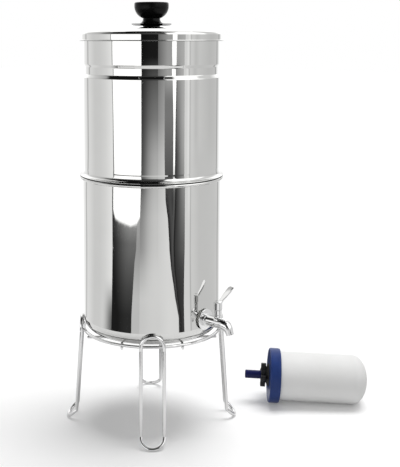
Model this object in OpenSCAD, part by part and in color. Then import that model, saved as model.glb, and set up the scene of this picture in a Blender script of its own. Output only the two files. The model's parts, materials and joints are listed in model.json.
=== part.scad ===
// Gravity water filter with tap: two stacked steel chambers on a wire stand.
// Millimetres. +Z is up, the origin is on the floor under the chambers' axis,
// and the tap faces -Y.

/* [Stand] */
// Height of the ring's centre line above the floor
ring_height = 165; // [140:0.5:220]
// Diameter of the ring's wire
ring_wire_d = 5; // [4:0.5:8]
// Diameter of the legs' wire
leg_wire_d = 6; // [5:0.5:8]
// Diameter of the cross wires
cross_wire_d = 4.5; // [3:0.5:6]
// Distance between two parallel cross wires, centre to centre
cross_wire_pitch = 100; // [70:1:110]
// Length of each cross wire's stub past the ring's centre line
cross_wire_stub = 3; // [3:0.5:6]
// Width of a leg's loop, centre to centre of its two wires
leg_loop_w = 38; // [30:1:50]
// Reach of a foot's tip past the ring's centre line
foot_reach = 29.5; // [24:0.5:45]
// Angle of the kicked-out foot below the level
foot_angle = 44; // [35:1:60]
// Straight length of the foot between its bend and its round tip
foot_straight = 0.5; // [0.5:0.1:12]
// Turn of the stand from the place midway between tap and legs, in degrees
stand_turn = -2.3; // [-8:0.1:8]

/* [Chambers] */
// Outside diameter of the lower chamber's wall
chamber_d = 235; // [225:1:260]
// Height of the lower chamber from its base to the top of its rim
lower_h = 270; // [240:1:330]
// Thickness of the chambers' and the lid's sheet
sheet_t = 0.8; // [0.6:0.1:1.2]
// Radius of the lower chamber's bottom corner
base_corner_r = 24; // [16:1:30]
// Diameter of the lower chamber's rolled rim
rim_d = 5.8; // [4:0.2:7]
// Gap where one free standing piece rests on the next
seat_gap = 0.3; // [0.2:0.05:0.4]
// Depth that the upper chamber stands down into the lower one
nest_depth = 18; // [14:0.5:26]
// Clearance round the upper chamber's foot in the lower chamber
nest_clearance = 0.8; // [0.4:0.1:1.4]
// Radius of the upper chamber's bottom corner
foot_corner_r = 6; // [4:0.5:9]
// How much the upper chamber's wall stands in from its foot
wall_step = 0.9; // [0.4:0.1:2]
// Radius of the cove over the upper chamber's shoulder
shoulder_cove_r = 6.4; // [4:0.2:9]
// Height of the upper chamber from its shoulder to the end of its wall
wall_h = 164.7; // [140:0.5:220]
// Depth of the groove round the upper chamber
groove_depth = 3.1; // [2:0.1:4]
// Height of the groove's flat floor
groove_h = 10.5; // [8:0.5:16]
// Height of the slope below the groove
groove_lower_step = 7; // [5:0.5:10]
// Height of the slope above the groove
groove_upper_step = 6.5; // [5:0.5:10]
// How much the band above the groove stands in from the main wall
band_step = 0.7; // [0:0.1:1.5]
// Height of the band above the groove, to the centre of the mouth's bead
band_h = 47.6; // [36:0.2:70]
// Diameter of the bead round the upper chamber's mouth
mouth_bead_d = 3.2; // [2.4:0.2:4]

/* [Lid] */
// Clearance between the mouth's bead and the lid's wall
lid_clearance = 0.7; // [0.5:0.1:1.2]
// Height of the lid's straight wall above its brim
lid_wall_h = 8.1; // [6:0.1:14]
// Width of the lid's brim
lid_brim_w = 3.2; // [2:0.1:6]
// Outside radius of the lid's shoulder
lid_shoulder_r = 10; // [7:0.5:16]
// Height of the dome's top above the centre of the shoulder's curve
lid_dome_h = 18.3; // [17.5:0.1:28]

/* [Knob] */
// Largest diameter of the knob
knob_d = 57.8; // [45:0.2:65]
// Height of the knob
knob_h = 37.4; // [37:0.2:46]
// Diameter of the knob's neck
knob_neck_d = 28.6; // [24:0.2:32]
// Diameter of the knob's thin foot flange
knob_foot_d = 67; // [60:0.5:80]
// Thickness of the foot flange
knob_foot_t = 0.8; // [0.6:0.1:1.6]
// Diameter of the boss under the foot flange
knob_boss_d = 38; // [26:1:46]
// Height of the boss under the foot flange
knob_boss_h = 1; // [0.6:0.1:2]
// Radius of the hollow curve from neck to foot
knob_neck_curve_r = 8.5; // [7:0.1:9]
// Radius of the knob's bowl
knob_bowl_r = 21.9; // [20:0.1:24]
// Radius of the knob's top edge
knob_edge_r = 3; // [2:0.1:4]
// Thread diameter of the knob's screw
knob_screw_d = 5; // [4:0.5:6]
// Length of the knob's screw under its head
knob_screw_len = 16; // [12:1:24]

/* [Cartridge] */
// Gap between a standing cartridge's cap and the chamber's wall
cap_wall_gap = 5; // [2:0.1:8]
// Gap between two neighbouring caps in the chamber
cap_gap = 5.3; // [2.4:0.1:8]
// Height of the cap
cap_h = 19; // [14:0.5:24]
// Thickness of the cap's floor
cap_floor_t = 4.5; // [3:0.5:7]
// Wall of the cap round the ceramic shell
cap_wall_t = 5.05; // [2.5:0.05:6]
// Length of the cartridge from the cap's face to the dome's top
cartridge_len = 178; // [140:1:190]
// Height of the shell's domed end
shell_dome_h = 26; // [20:1:40]
// Wall of the ceramic shell
shell_t = 8; // [6:0.5:10]
// Clearance between cap, shell and core
core_clearance = 0.2; // [0.1:0.05:0.4]
// Length of the carbon core
core_len = 132; // [80:1:136]
// Diameter of the passage up the carbon core
core_bore_d = 10; // [8:0.5:14]
// Diameter of the cap's stem
stem_d = 15; // [12:0.5:16]
// Length of the cap's stem
stem_len = 42.7; // [36:0.1:60]
// Bore of the cap's stem
stem_bore_d = 8; // [5:0.5:9]
// Diameter of the sealing washer under the cap
cap_seal_d = 43; // [30:0.5:48]
// Thickness of the sealing washer
cap_seal_t = 5.5; // [3:0.5:7]
// Span of the wing nut over its wings
nut_span = 43.5; // [34:0.5:50]
// Height of the wing nut
nut_h = 8.8; // [6:0.2:12]
// Diameter of the wing nut's hub
nut_hub_d = 26; // [22:0.5:30]
// Width of each wing
nut_wing_w = 8; // [5:0.5:12]
// Running clearance of stem, seal and nut, on the radius
stem_clearance = 0.2; // [0.1:0.05:0.4]
// Clearance of the stem in the hole of the chamber's floor, on the radius
hole_clearance = 0.5; // [0.3:0.1:1]
// Place of the loose cartridge's cap along X
spare_x = 190.5; // [170:0.5:260]
// Place of the loose cartridge's cap along Y
spare_y = -117.5; // [-170:0.5:-90]
// Direction in which the loose cartridge lies
spare_turn = -51; // [-80:1:0]

/* [Blanking plug] */
// Diameter of the plug's head
plug_head_d = 32; // [26:1:44]
// Height of the plug's head
plug_head_h = 5; // [3:0.5:9]
// Thickness of the plug's seal
plug_seal_t = 2; // [1.5:0.5:4]
// Length of the plug's thread below its head
plug_thread_len = 22; // [18:1:30]

/* [Tap] */
// Height of the wall seals' lower edge above the end of the bottom corner
tap_margin = 0.2; // [0.1:0.1:60]
// Diameter of the threaded shank through the wall
shank_d = 16; // [14.5:0.5:20]
// Length of the shank inside the wall
shank_inner_len = 22.2; // [16:0.2:34]
// Clearance of the shank in its hole, seals and nut, on the radius
shank_clearance = 0.2; // [0.1:0.05:0.4]
// Diameter of the wall seals
wall_seal_d = 27; // [24:0.5:28]
// Thickness of the outer wall seal at its middle
outer_seal_t = 2; // [1.5:0.1:3]
// Thickness of the inner wall seal at its middle
inner_seal_t = 2.2; // [1.5:0.1:3]
// Width of the tank nut across its flats
tank_nut_af = 24; // [22:0.5:25]
// Height of the tank nut
tank_nut_h = 7; // [5:0.5:10]
// Diameter of the escutcheon disc
escutcheon_d = 35.6; // [30:0.2:44]
// Thickness of the escutcheon disc
escutcheon_t = 2.5; // [1.5:0.1:4]
// Diameter of the collar behind the escutcheon
collar_d = 22; // [20:0.5:26]
// Thickness of the collar
collar_t = 3.5; // [2:0.1:6]
// Diameter of the tap's body
body_d = 18; // [17:0.5:20]
// Distance from the chamber's wall to the lever's axis
lever_axis_reach = 29.1; // [27:0.1:36]
// Distance from the lever's axis to the start of the spout's bend
bend_start = 8; // [7.8:0.1:14]
// Radius of the spout's bend
bend_r = 16.7; // [14:0.1:30]
// Angle of the spout's bend
bend_angle = 70; // [50:1:80]
// Length of the spout's straight tip
spout_tip_len = 5; // [4:0.5:12]
// Outside diameter of the spout
spout_d = 13.5; // [12:0.5:16]
// Bore of the spout
spout_bore_d = 9; // [7:0.5:10]
// Diameter of the ball
ball_d = 11; // [10.5:0.1:11.5]
// Bore of the ball and its seats
ball_bore_d = 7; // [5:0.5:7.5]
// Gap between ball and seat
ball_gap = 0.05; // [0.02:0.01:0.1]
// Clearance of the seats in the body, on the radius
seat_clearance = 0.05; // [0.02:0.01:0.1]
// Thickness of a ball seat
seat_t = 3; // [2.6:0.1:3.4]
// Length of the seat retainer
retainer_len = 4; // [3:0.5:7]
// Diameter of the neck that carries the gland
neck_d = 12; // [11:0.5:14]
// Height of the neck's top above the tap's axis
neck_h = 13.5; // [13:0.1:16]
// Diameter of the stem shaft
shaft_d = 5.5; // [4.5:0.1:6]
// Diameter of the collar on the stem shaft
shaft_collar_d = 8.3; // [7.6:0.1:8.8]
// Running clearance of the stem shaft, on the radius
shaft_clearance = 0.1; // [0.05:0.01:0.15]
// Height of each packing ring
packing_h = 1.9; // [1.4:0.1:2]
// Height of the gland nut's head
gland_h = 8.3; // [6:0.1:11]
// Gap between gland nut and lever hub
hub_gap = 0.5; // [0.3:0.1:1]
// Diameter of the lever's hub
hub_d = 14; // [12:0.2:16]
// Height of the lever's hub
hub_h = 13.7; // [13:0.1:18]
// Reach of the lever's tip from its axis
lever_reach = 39; // [30:0.5:60]
// Rise of the lever, in degrees
lever_rise = 31; // [15:1:32]
// Width of the lever at its hub
lever_root_w = 7; // [5:0.5:9]
// Width of the lever near its tip
lever_tip_w = 12; // [8:0.5:14]
// Thickness of the lever
lever_t = 3; // [2:0.1:4]
// Thread diameter of the set screw
set_screw_d = 4; // [3:0.5:5]

/* [Hidden] */

$fn = 96;
ARC_STEPS = 8;          // segments of a small profile curve
OVER = 1;               // how far a cut runs past a face
WELD = 0.1;             // how far two joined lengths of wire or tube run into each other
WIRE_STEP = 0.02;       // how much thicker a wire's bend is than the straight lengths beside it
TUBE_STEP = 0.1;        // the same for the spout's bend, inside and outside

// Stand
ring_r = chamber_d / 2;
cross_z = ring_height - ring_wire_d / 2 - cross_wire_d / 2;
loop_r = leg_loop_w / 2;
leg_touch_r = ring_r + ring_wire_d / 2 + leg_wire_d / 2;
leg_plane_r = sqrt(leg_touch_r * leg_touch_r - loop_r * loop_r);
leg_bend_r = 20;        // upper, shallow bend of a leg
leg_bend_z = ring_height - 5;
foot_bend_r = 5;        // sharp bend at the top of a foot
foot_tip_r = ring_r + foot_reach;
foot_centre = [
    foot_tip_r - loop_r * cos(foot_angle),
    leg_wire_d / 2 + loop_r * sin(foot_angle),
];
foot_kink = foot_centre
    + (foot_straight + foot_bend_r * tan((90 - foot_angle) / 2)) * [-cos(foot_angle), sin(foot_angle)];
cross_half_len = sqrt(ring_r * ring_r - cross_wire_pitch * cross_wire_pitch / 4) + cross_wire_stub;
leg_turn_front_right = 45 + stand_turn;

// Chambers, from the floor up
lower_r = chamber_d / 2;
base_z = cross_z + cross_wire_d / 2 + seat_gap;
rim_top_z = base_z + lower_h;
rim_r = lower_r + rim_d / 2 - 0.5;
rim_z = rim_top_z - rim_d / 2;
foot_r = lower_r - sheet_t - nest_clearance;
upper_r = foot_r - wall_step;
shoulder_z = rim_top_z + seat_gap;
upper_base_z = shoulder_z - nest_depth;
upper_floor_z = upper_base_z + sheet_t;
hem_r = 1.25 * sheet_t;
cove_centre = [upper_r + shoulder_cove_r, shoulder_z + 2 * hem_r + shoulder_cove_r];
wall_end_z = shoulder_z + wall_h;
groove_r = upper_r - groove_depth;
groove_floor_z = wall_end_z + groove_lower_step;
groove_top_z = groove_floor_z + groove_h;
mouth_r = upper_r - band_step;
band_z = groove_top_z + groove_upper_step;
mouth_z = band_z + band_h;

// Lid
lid_r = mouth_r + mouth_bead_d / 2 + lid_clearance + sheet_t;
lid_arc_r = lid_r - lid_shoulder_r;
bead_inset = lid_shoulder_r - sheet_t - seat_gap - mouth_bead_d / 2;
lid_arc_z = mouth_z - sqrt(pow(bead_inset, 2) - pow(mouth_r - lid_arc_r, 2));
lid_brim_z = lid_arc_z - lid_wall_h;
lid_top_z = lid_arc_z + lid_dome_h;
dome_r = (pow(lid_arc_r, 2) + pow(lid_dome_h, 2) - pow(lid_shoulder_r, 2))
    / (2 * (lid_dome_h - lid_shoulder_r));
dome_angle = atan2(dome_r - lid_dome_h, lid_arc_r);
knob_hole_d = knob_screw_d + 0.5;
knob_washer_d = 3 * knob_screw_d;
knob_washer_t = 1;
knob_screw_head_d = 1.9 * knob_screw_d;
knob_screw_head_h = 0.6 * knob_screw_d;

// Cartridges and plug. Three caps side by side fill the chamber's width
upper_inner_r = upper_r - sheet_t;
cap_d = 2 * (upper_inner_r - cap_wall_gap - cap_gap / (2 * sin(60))) / (1 + 1 / sin(60));
shell_d = cap_d - 2 * cap_wall_t - 2 * core_clearance;
hole_d = stem_d + 2 * hole_clearance;
hole_circle_r = (cap_d + cap_gap) / (2 * sin(60));
cap_z = upper_floor_z + cap_seal_t;
shell_straight = cartridge_len - shell_dome_h;
lie_tilt = atan((cap_d - shell_d) / 2 / (shell_straight - cap_h));
lie_z = cap_d / 2 * cos(lie_tilt) + cap_h * sin(lie_tilt);

// Tap, measured out from the chamber's wall along -Y
tap_height = base_z + base_corner_r + wall_seal_d / 2 + tap_margin;
body_start = outer_seal_t + escutcheon_t;
seat_bore_d = ball_d + 0.4;
seat_d = seat_bore_d - 2 * seat_clearance;
seat_near = ball_d / 2 - 2.1;
seat_far = seat_near + seat_t;
bend_reach = lever_axis_reach + bend_start;
neck_bore_d = shaft_collar_d + 2 * shaft_clearance;
slot_w = 3;
slot_z = ball_d / 2 - 2.2;
shaft_collar_z = seat_bore_d / 2 + shaft_clearance;
shaft_collar_h = 2;
packing_z = shaft_collar_z + shaft_collar_h + shaft_clearance;
gland_shank_z = packing_z + 2 * (packing_h + shaft_clearance);
gland_top = neck_h + gland_h;
hub_z = gland_top + hub_gap;
hub_top = hub_z + hub_h;
hub_bore_top = hub_top - 3;
set_screw_z = hub_z + hub_h * 0.55;
blade_z = hub_top - lever_t / 2 / cos(lever_rise) - hub_d / 2 * tan(lever_rise);

STEEL = [0.80, 0.81, 0.82];
CHROME = [0.86, 0.87, 0.88];
BLACK = [0.05, 0.05, 0.05];
WHITE = [0.93, 0.93, 0.91];
BLUE = [0.15, 0.25, 0.55];
NAVY = [0.08, 0.10, 0.28];
SILICONE = [0.88, 0.88, 0.84];
PTFE = [0.95, 0.95, 0.95];
CARBON = [0.12, 0.12, 0.12];

// Points of an arc about centre c, from angle a0 to angle a1
function arc(c, r, a0, a1, n = ARC_STEPS) =
    [for (i = [0:n]) c + r * [cos(a0 + (a1 - a0) * i / n), sin(a0 + (a1 - a0) * i / n)]];

// Unit normal to the left of the way from p to q
function left_of(p, q) = [p[1] - q[1], q[0] - p[0]] / norm(q - p);

// Point i of a path moved t to the left, mitred at the corners
function shifted(path, i, t) =
    let (last = len(path) - 1,
         before = left_of(path[max(i - 1, 0)], path[max(i, 1)]),
         after = left_of(path[min(i, last - 1)], path[min(i + 1, last)]),
         middle = (before + after) / norm(before + after))
    path[i] + middle * t / (middle * before);

function reversed(list) = [for (i = [len(list) - 1:-1:0]) list[i]];

// The path without the points that repeat the one before them
function no_repeats(path) =
    [for (i = [0:len(path) - 1]) if (i == 0 || norm(path[i] - path[i - 1]) > 0.001) path[i]];

// A sheet of thickness t on the left of a path, kept on its side of the axis
module sheet_profile(path, t) {
    way = no_repeats(path);
    far = [for (i = [len(way) - 1:-1:0]) shifted(way, i, t)];
    polygon(concat(way, [for (p = far) [max(p[0], 0), p[1]]]));
}

// A straight round rod in the XY plane from p to q
module rod(p, q, d) {
    translate([p[0], p[1], 0])
        rotate([0, 90, atan2(q[1] - p[1], q[0] - p[0])]) cylinder(h = norm(q - p), d = d);
}

// A length of a leg's wire from p to q that runs a little into the bends at its ends
module link(p, q) {
    weld = WELD * (q - p) / norm(q - p);
    rod(p - weld, q + weld, leg_wire_d - WIRE_STEP);
}

// A bend to the left in the XY plane, from point p and heading, through turn degrees
module bend(p, heading, turn, r, d) {
    translate([p[0], p[1], 0])
        rotate([0, 0, heading - 90])
            translate([-r, 0, 0])
                rotate_extrude(angle = turn) translate([r, 0]) circle(d = d, $fn = 32);
}

// Half of a round wire loop, in the XY plane, on the +Y side
module half_loop(r, d) {
    rotate_extrude(angle = 180) translate([r, 0]) circle(d = d, $fn = 32);
}

// ---------------------------------------------------------------- stand

module stand_ring() {
    color(CHROME)
        translate([0, 0, ring_height])
            rotate_extrude() translate([ring_r, 0]) circle(d = ring_wire_d, $fn = 32);
}

// One side of a leg, bent in the plane of its reach (X) and its height (Y)
module leg_side() {
    slope = atan2(foot_kink[1] - leg_bend_z, foot_kink[0] - leg_plane_r);
    upper_cut = leg_bend_r * tan((slope + 90) / 2);
    foot_cut = foot_bend_r * tan((-foot_angle - slope) / 2);
    slope_start = [leg_plane_r, leg_bend_z] + upper_cut * [cos(slope), sin(slope)];
    slope_end = foot_kink - foot_cut * [cos(slope), sin(slope)];
    foot_start = foot_kink + foot_cut * [cos(foot_angle), -sin(foot_angle)];
    link([leg_plane_r, ring_height], [leg_plane_r, leg_bend_z + upper_cut]);
    bend([leg_plane_r, leg_bend_z + upper_cut], -90, slope + 90, leg_bend_r, leg_wire_d);
    link(slope_start, slope_end);
    bend(slope_end, slope, -foot_angle - slope, foot_bend_r, leg_wire_d);
    link(foot_start, foot_centre);
}

// One leg, a closed loop of wire that stands out along -Y
module leg() {
    color(CHROME) {
        translate([0, -leg_plane_r, ring_height])
            rotate([90, 0, 0]) half_loop(loop_r, leg_wire_d);
        translate([0, -foot_centre[0], foot_centre[1]])
            rotate([180 + foot_angle, 0, 0]) half_loop(loop_r, leg_wire_d);
        for (x = [-loop_r, loop_r])
            translate([x, 0, 0]) rotate([90, 0, -90]) leg_side();
    }
}

module leg_front_right() { rotate([0, 0, leg_turn_front_right]) leg(); }
module leg_back_right() { rotate([0, 0, leg_turn_front_right + 90]) leg(); }
module leg_back_left() { rotate([0, 0, leg_turn_front_right + 180]) leg(); }
module leg_front_left() { rotate([0, 0, leg_turn_front_right + 270]) leg(); }

// One cross wire along X at y, with half of it cut away where it meets the
// two wires that run the other way: side 1 keeps its upper half there, side
// -1 its lower half
module cross_wire(turn, y, side) {
    color(CHROME)
        rotate([0, 0, leg_turn_front_right + turn])
            translate([0, y, cross_z])
                difference() {
                    rod([-cross_half_len, 0], [cross_half_len, 0], cross_wire_d);
                    for (x = [-1, 1] * cross_wire_pitch / 2)
                        translate([x - cross_wire_d / 2, -cross_wire_d, side > 0 ? -cross_wire_d : 0])
                            cube([cross_wire_d, 2 * cross_wire_d, cross_wire_d]);
                }
}

module cross_wire_front() { cross_wire(0, -cross_wire_pitch / 2, 1); }
module cross_wire_back() { cross_wire(0, cross_wire_pitch / 2, 1); }
module cross_wire_left() { cross_wire(90, cross_wire_pitch / 2, -1); }
module cross_wire_right() { cross_wire(90, -cross_wire_pitch / 2, -1); }

// -------------------------------------------------------- lower chamber

module lower_chamber() {
    wall = concat(
        [[0, base_z]],
        arc([lower_r - base_corner_r, base_z + base_corner_r], base_corner_r, -90, 0),
        [[lower_r, rim_z]]
    );
    color(STEEL)
        difference() {
            rotate_extrude() {
                sheet_profile(wall, sheet_t);
                translate([rim_r, rim_z]) circle(d = rim_d, $fn = 32);
            }
            translate([0, -lower_r / 2, tap_height])
                rotate([90, 0, 0]) cylinder(h = lower_r, d = shank_d + 2 * shank_clearance);
        }
}

// ------------------------------------------------------------------ tap

// Puts what is built along +Z from the chamber's wall on the tap's axis
module on_tap_axis() {
    translate([0, -lower_r, tap_height]) rotate([90, 0, 0]) children();
}

// Puts what is built along +Z over the lever's axis
module on_lever_axis() {
    translate([0, -lower_r - lever_axis_reach, tap_height]) children();
}

// The spout's bend and tip at a given diameter, from the end of the body
module spout_run(d, over) {
    translate([0, -lower_r - bend_reach, tap_height - bend_r])
        rotate([0, -90, 180]) {
            rotate_extrude(angle = bend_angle) translate([bend_r, 0]) circle(d = d + TUBE_STEP, $fn = 48);
            rotate([0, 0, bend_angle])
                translate([bend_r, -WELD, 0])
                    rotate([-90, 0, 0]) cylinder(h = WELD + spout_tip_len + over, d = d);
        }
}

module tap_body() {
    color(CHROME)
        difference() {
            union() {
                on_tap_axis() {
                    translate([0, 0, -sheet_t - shank_inner_len])
                        cylinder(h = sheet_t + shank_inner_len + body_start, d = shank_d);
                    translate([0, 0, body_start]) cylinder(h = collar_t, d = collar_d);
                    translate([0, 0, body_start])
                        cylinder(h = bend_reach - 1.5 - body_start, d = body_d);
                    translate([0, 0, bend_reach - 1.5])
                        cylinder(h = 1.5 + WELD, d1 = body_d, d2 = spout_d + 2 * TUBE_STEP);
                }
                on_lever_axis() cylinder(h = neck_h, d = neck_d);
                spout_run(spout_d, 0);
            }
            on_tap_axis() {
                translate([0, 0, -sheet_t - shank_inner_len - OVER])
                    cylinder(h = sheet_t + shank_inner_len + OVER + lever_axis_reach + seat_far,
                             d = seat_bore_d);
                cylinder(h = bend_reach + WELD, d = spout_bore_d);
            }
            on_lever_axis() cylinder(h = neck_h + OVER, d = neck_bore_d);
            spout_run(spout_bore_d, OVER);
        }
}

module tap_escutcheon() {
    color(CHROME)
        on_tap_axis()
            translate([0, 0, outer_seal_t])
                rotate_extrude()
                    polygon(concat(
                        [[shank_d / 2 + shank_clearance, 0], [escutcheon_d / 2, 0],
                         [escutcheon_d / 2, escutcheon_t / 2]],
                        arc([escutcheon_d / 2 - escutcheon_t / 2, escutcheon_t / 2],
                            escutcheon_t / 2, 0, 90, 4),
                        [[shank_d / 2 + shank_clearance, escutcheon_t]]
                    ));
}

// A wall seal from level low to level high, with the shank's hole
module wall_seal(low, high) {
    on_tap_axis()
        difference() {
            translate([0, 0, low]) cylinder(h = high - low, d = wall_seal_d);
            translate([0, 0, low - OVER])
                cylinder(h = high - low + 2 * OVER, d = shank_d + 2 * shank_clearance);
        }
}

module tap_outer_seal() {
    color(SILICONE)
        difference() {
            wall_seal(-2 * outer_seal_t, outer_seal_t);
            cylinder(h = rim_top_z, r = lower_r, $fn = 720);
        }
}

module tap_inner_seal() {
    color(SILICONE)
        intersection() {
            wall_seal(-sheet_t - inner_seal_t, 0);
            cylinder(h = rim_top_z, r = lower_r - sheet_t, $fn = 720);
        }
}

module tap_nut() {
    color(CHROME)
        on_tap_axis()
            translate([0, 0, -sheet_t - inner_seal_t - tank_nut_h])
                difference() {
                    cylinder(h = tank_nut_h, d = tank_nut_af / cos(30), $fn = 6);
                    translate([0, 0, -OVER])
                        cylinder(h = tank_nut_h + 2 * OVER, d = shank_d + 2 * shank_clearance);
                }
}

module gland_nut() {
    color(CHROME)
        on_lever_axis()
            difference() {
                union() {
                    translate([0, 0, gland_shank_z])
                        cylinder(h = neck_h - gland_shank_z, d = neck_bore_d - 2 * shaft_clearance);
                    translate([0, 0, neck_h]) cylinder(h = gland_h, d = neck_d);
                }
                cylinder(h = gland_top + OVER, d = shaft_d + 2 * shaft_clearance);
            }
}

// One of the two packing rings round the stem shaft, with its foot at z
module packing_ring(z) {
    color(PTFE)
        on_lever_axis()
            translate([0, 0, z])
                difference() {
                    cylinder(h = packing_h, d = neck_bore_d - shaft_clearance);
                    translate([0, 0, -OVER])
                        cylinder(h = packing_h + 2 * OVER, d = shaft_d + shaft_clearance);
                }
}

module packing_ring_lower() { packing_ring(packing_z); }
module packing_ring_upper() { packing_ring(packing_z + packing_h + shaft_clearance); }

// A ball seat on side 1 (towards the spout) or -1 (towards the chamber)
module ball_seat(side) {
    color(PTFE)
        on_tap_axis()
            translate([0, 0, lever_axis_reach])
                difference() {
                    translate([0, 0, side > 0 ? seat_near : -seat_far])
                        cylinder(h = seat_t, d = seat_d);
                    translate([0, 0, -ball_d]) cylinder(h = 2 * ball_d, d = ball_bore_d);
                    sphere(d = ball_d + 2 * ball_gap);
                }
}

module ball_seat_front() { ball_seat(1); }
module ball_seat_rear() { ball_seat(-1); }

module seat_retainer() {
    color(CHROME)
        on_tap_axis()
            translate([0, 0, lever_axis_reach - seat_far - retainer_len])
                difference() {
                    cylinder(h = retainer_len, d = seat_d);
                    translate([0, 0, -OVER]) cylinder(h = retainer_len + 2 * OVER, d = ball_bore_d);
                }
}

// The ball is closed at rest: its bore runs along X
module valve_ball() {
    color(CHROME)
        on_lever_axis()
            difference() {
                sphere(d = ball_d);
                rotate([0, 90, 0]) translate([0, 0, -ball_d]) cylinder(h = 2 * ball_d, d = ball_bore_d);
                translate([-slot_w / 2, -ball_d, slot_z]) cube([slot_w, 2 * ball_d, ball_d]);
            }
}

module valve_stem() {
    tang_w = slot_w - 2 * shaft_clearance;
    tang_len = 2 * seat_near - 0.8;
    tang_z = slot_z + shaft_clearance;
    color(CHROME)
        on_lever_axis() {
            translate([-tang_w / 2, -tang_len / 2, tang_z])
                cube([tang_w, tang_len, shaft_collar_z - tang_z]);
            translate([0, 0, shaft_collar_z]) cylinder(h = shaft_collar_h, d = shaft_collar_d);
            translate([0, 0, shaft_collar_z + shaft_collar_h])
                cylinder(h = hub_bore_top - shaft_clearance - shaft_collar_z - shaft_collar_h,
                         d = shaft_d);
        }
}

// The lever points along +X when the tap is shut
module tap_lever() {
    blade_len = lever_reach / cos(lever_rise) - lever_tip_w / 2;
    color(CHROME)
        on_lever_axis()
            difference() {
                union() {
                    translate([0, 0, hub_z]) cylinder(h = hub_h, d = hub_d);
                    translate([0, 0, blade_z])
                        rotate([0, -lever_rise, 0])
                            translate([0, 0, -lever_t / 2])
                                linear_extrude(height = lever_t) {
                                    polygon([
                                        [shaft_d / 2, -lever_root_w / 2], [blade_len, -lever_tip_w / 2],
                                        [blade_len, lever_tip_w / 2], [shaft_d / 2, lever_root_w / 2],
                                    ]);
                                    translate([blade_len, 0]) circle(d = lever_tip_w);
                                }
                }
                translate([0, 0, hub_z - OVER])
                    cylinder(h = hub_bore_top - hub_z + OVER, d = shaft_d + 2 * shaft_clearance);
                translate([0, 0, set_screw_z])
                    rotate([0, -90, 0]) cylinder(h = hub_d, d = set_screw_d + 2 * shaft_clearance);
            }
}

module lever_set_screw() {
    screw_len = (hub_d - shaft_d) / 2 - 0.3;
    color(BLACK)
        on_lever_axis()
            translate([-shaft_d / 2 - shaft_clearance, 0, set_screw_z])
                rotate([0, -90, 0])
                    difference() {
                        cylinder(h = screw_len, d = set_screw_d);
                        translate([0, 0, screw_len - set_screw_d / 2])
                            cylinder(h = set_screw_d, d = set_screw_d / 2, $fn = 6);
                    }
}

// -------------------------------------------------------- upper chamber

module upper_chamber() {
    wall = concat(
        [[0, upper_base_z]],
        arc([foot_r - foot_corner_r, upper_base_z + foot_corner_r], foot_corner_r, -90, 0),
        [[foot_r, shoulder_z]],
        arc([cove_centre[0], shoulder_z + hem_r], hem_r, -90, 90),
        arc(cove_centre, shoulder_cove_r, 270, 180),
        [[upper_r, wall_end_z], [groove_r, groove_floor_z], [groove_r, groove_top_z],
         [mouth_r, band_z], [mouth_r, mouth_z]]
    );
    color(STEEL)
        difference() {
            rotate_extrude() {
                sheet_profile(wall, sheet_t);
                translate([mouth_r, mouth_z]) circle(d = mouth_bead_d, $fn = 32);
            }
            for (place = [0:2])
                at_hole(place)
                    translate([0, 0, upper_base_z - OVER]) cylinder(h = sheet_t + 2 * OVER, d = hole_d);
        }
}

// Puts children over one of the three holes: 0 left, 1 right, 2 front
module at_hole(place) {
    rotate([0, 0, [150, 30, -90][place]]) translate([hole_circle_r, 0, 0]) children();
}

// ------------------------------------------------- cartridges and plug
// A cartridge stands on its cap's face at z = 0, with its stem below

module ceramic_shell() {
    outer = [for (a = [0:7.5:90]) [shell_d / 2 * cos(a), shell_straight + shell_dome_h * sin(a)]];
    inner_d = shell_d - 2 * shell_t;
    inner = [for (a = [0:7.5:90])
        [inner_d / 2 * cos(a), shell_straight + (shell_dome_h - shell_t) * sin(a)]];
    color(WHITE)
        rotate_extrude()
            polygon(concat(
                [[inner_d / 2, cap_floor_t], [shell_d / 2, cap_floor_t]],
                outer,
                reversed(inner)
            ));
}

module carbon_core() {
    color(CARBON)
        translate([0, 0, cap_floor_t])
            difference() {
                cylinder(h = core_len, d = shell_d - 2 * shell_t - 2 * core_clearance);
                translate([0, 0, -OVER]) cylinder(h = core_len + 2 * OVER, d = core_bore_d);
            }
}

module cartridge_cap() {
    difference() {
        union() {
            color(BLUE) cylinder(h = cap_h, d = cap_d);
            color(NAVY) translate([0, 0, -stem_len]) cylinder(h = stem_len, d = stem_d);
        }
        translate([0, 0, cap_floor_t]) cylinder(h = cap_h, d = shell_d + 2 * core_clearance);
        translate([0, 0, -stem_len - OVER])
            cylinder(h = stem_len + cap_floor_t + 2 * OVER, d = stem_bore_d);
    }
}

module cap_seal() {
    color(BLACK)
        translate([0, 0, -cap_seal_t])
            difference() {
                cylinder(h = cap_seal_t, d = cap_seal_d);
                translate([0, 0, -OVER])
                    cylinder(h = cap_seal_t + 2 * OVER, d = stem_d + 2 * stem_clearance);
            }
}

// A nut with four wings whose upper face is at z = 0
module wing_nut() {
    color(BLACK)
        translate([0, 0, -nut_h])
            difference() {
                union() {
                    cylinder(h = nut_h, d = nut_hub_d);
                    intersection() {
                        cylinder(h = nut_h, d = nut_span);
                        for (a = [0, 90])
                            rotate([0, 0, a])
                                translate([-nut_span, -nut_wing_w / 2, 0])
                                    cube([2 * nut_span, nut_wing_w, nut_h]);
                    }
                }
                translate([0, 0, -OVER])
                    cylinder(h = nut_h + 2 * OVER, d = stem_d + 2 * stem_clearance);
            }
}

// Puts a cartridge's piece over a hole, standing on its seal
module installed(place) {
    at_hole(place) translate([0, 0, cap_z]) children();
}

// Puts a cartridge's piece on the floor, resting on its cap and its shell
module lying() {
    translate([spare_x, spare_y, lie_z]) rotate([0, 90 + lie_tilt, spare_turn]) children();
}

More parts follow.
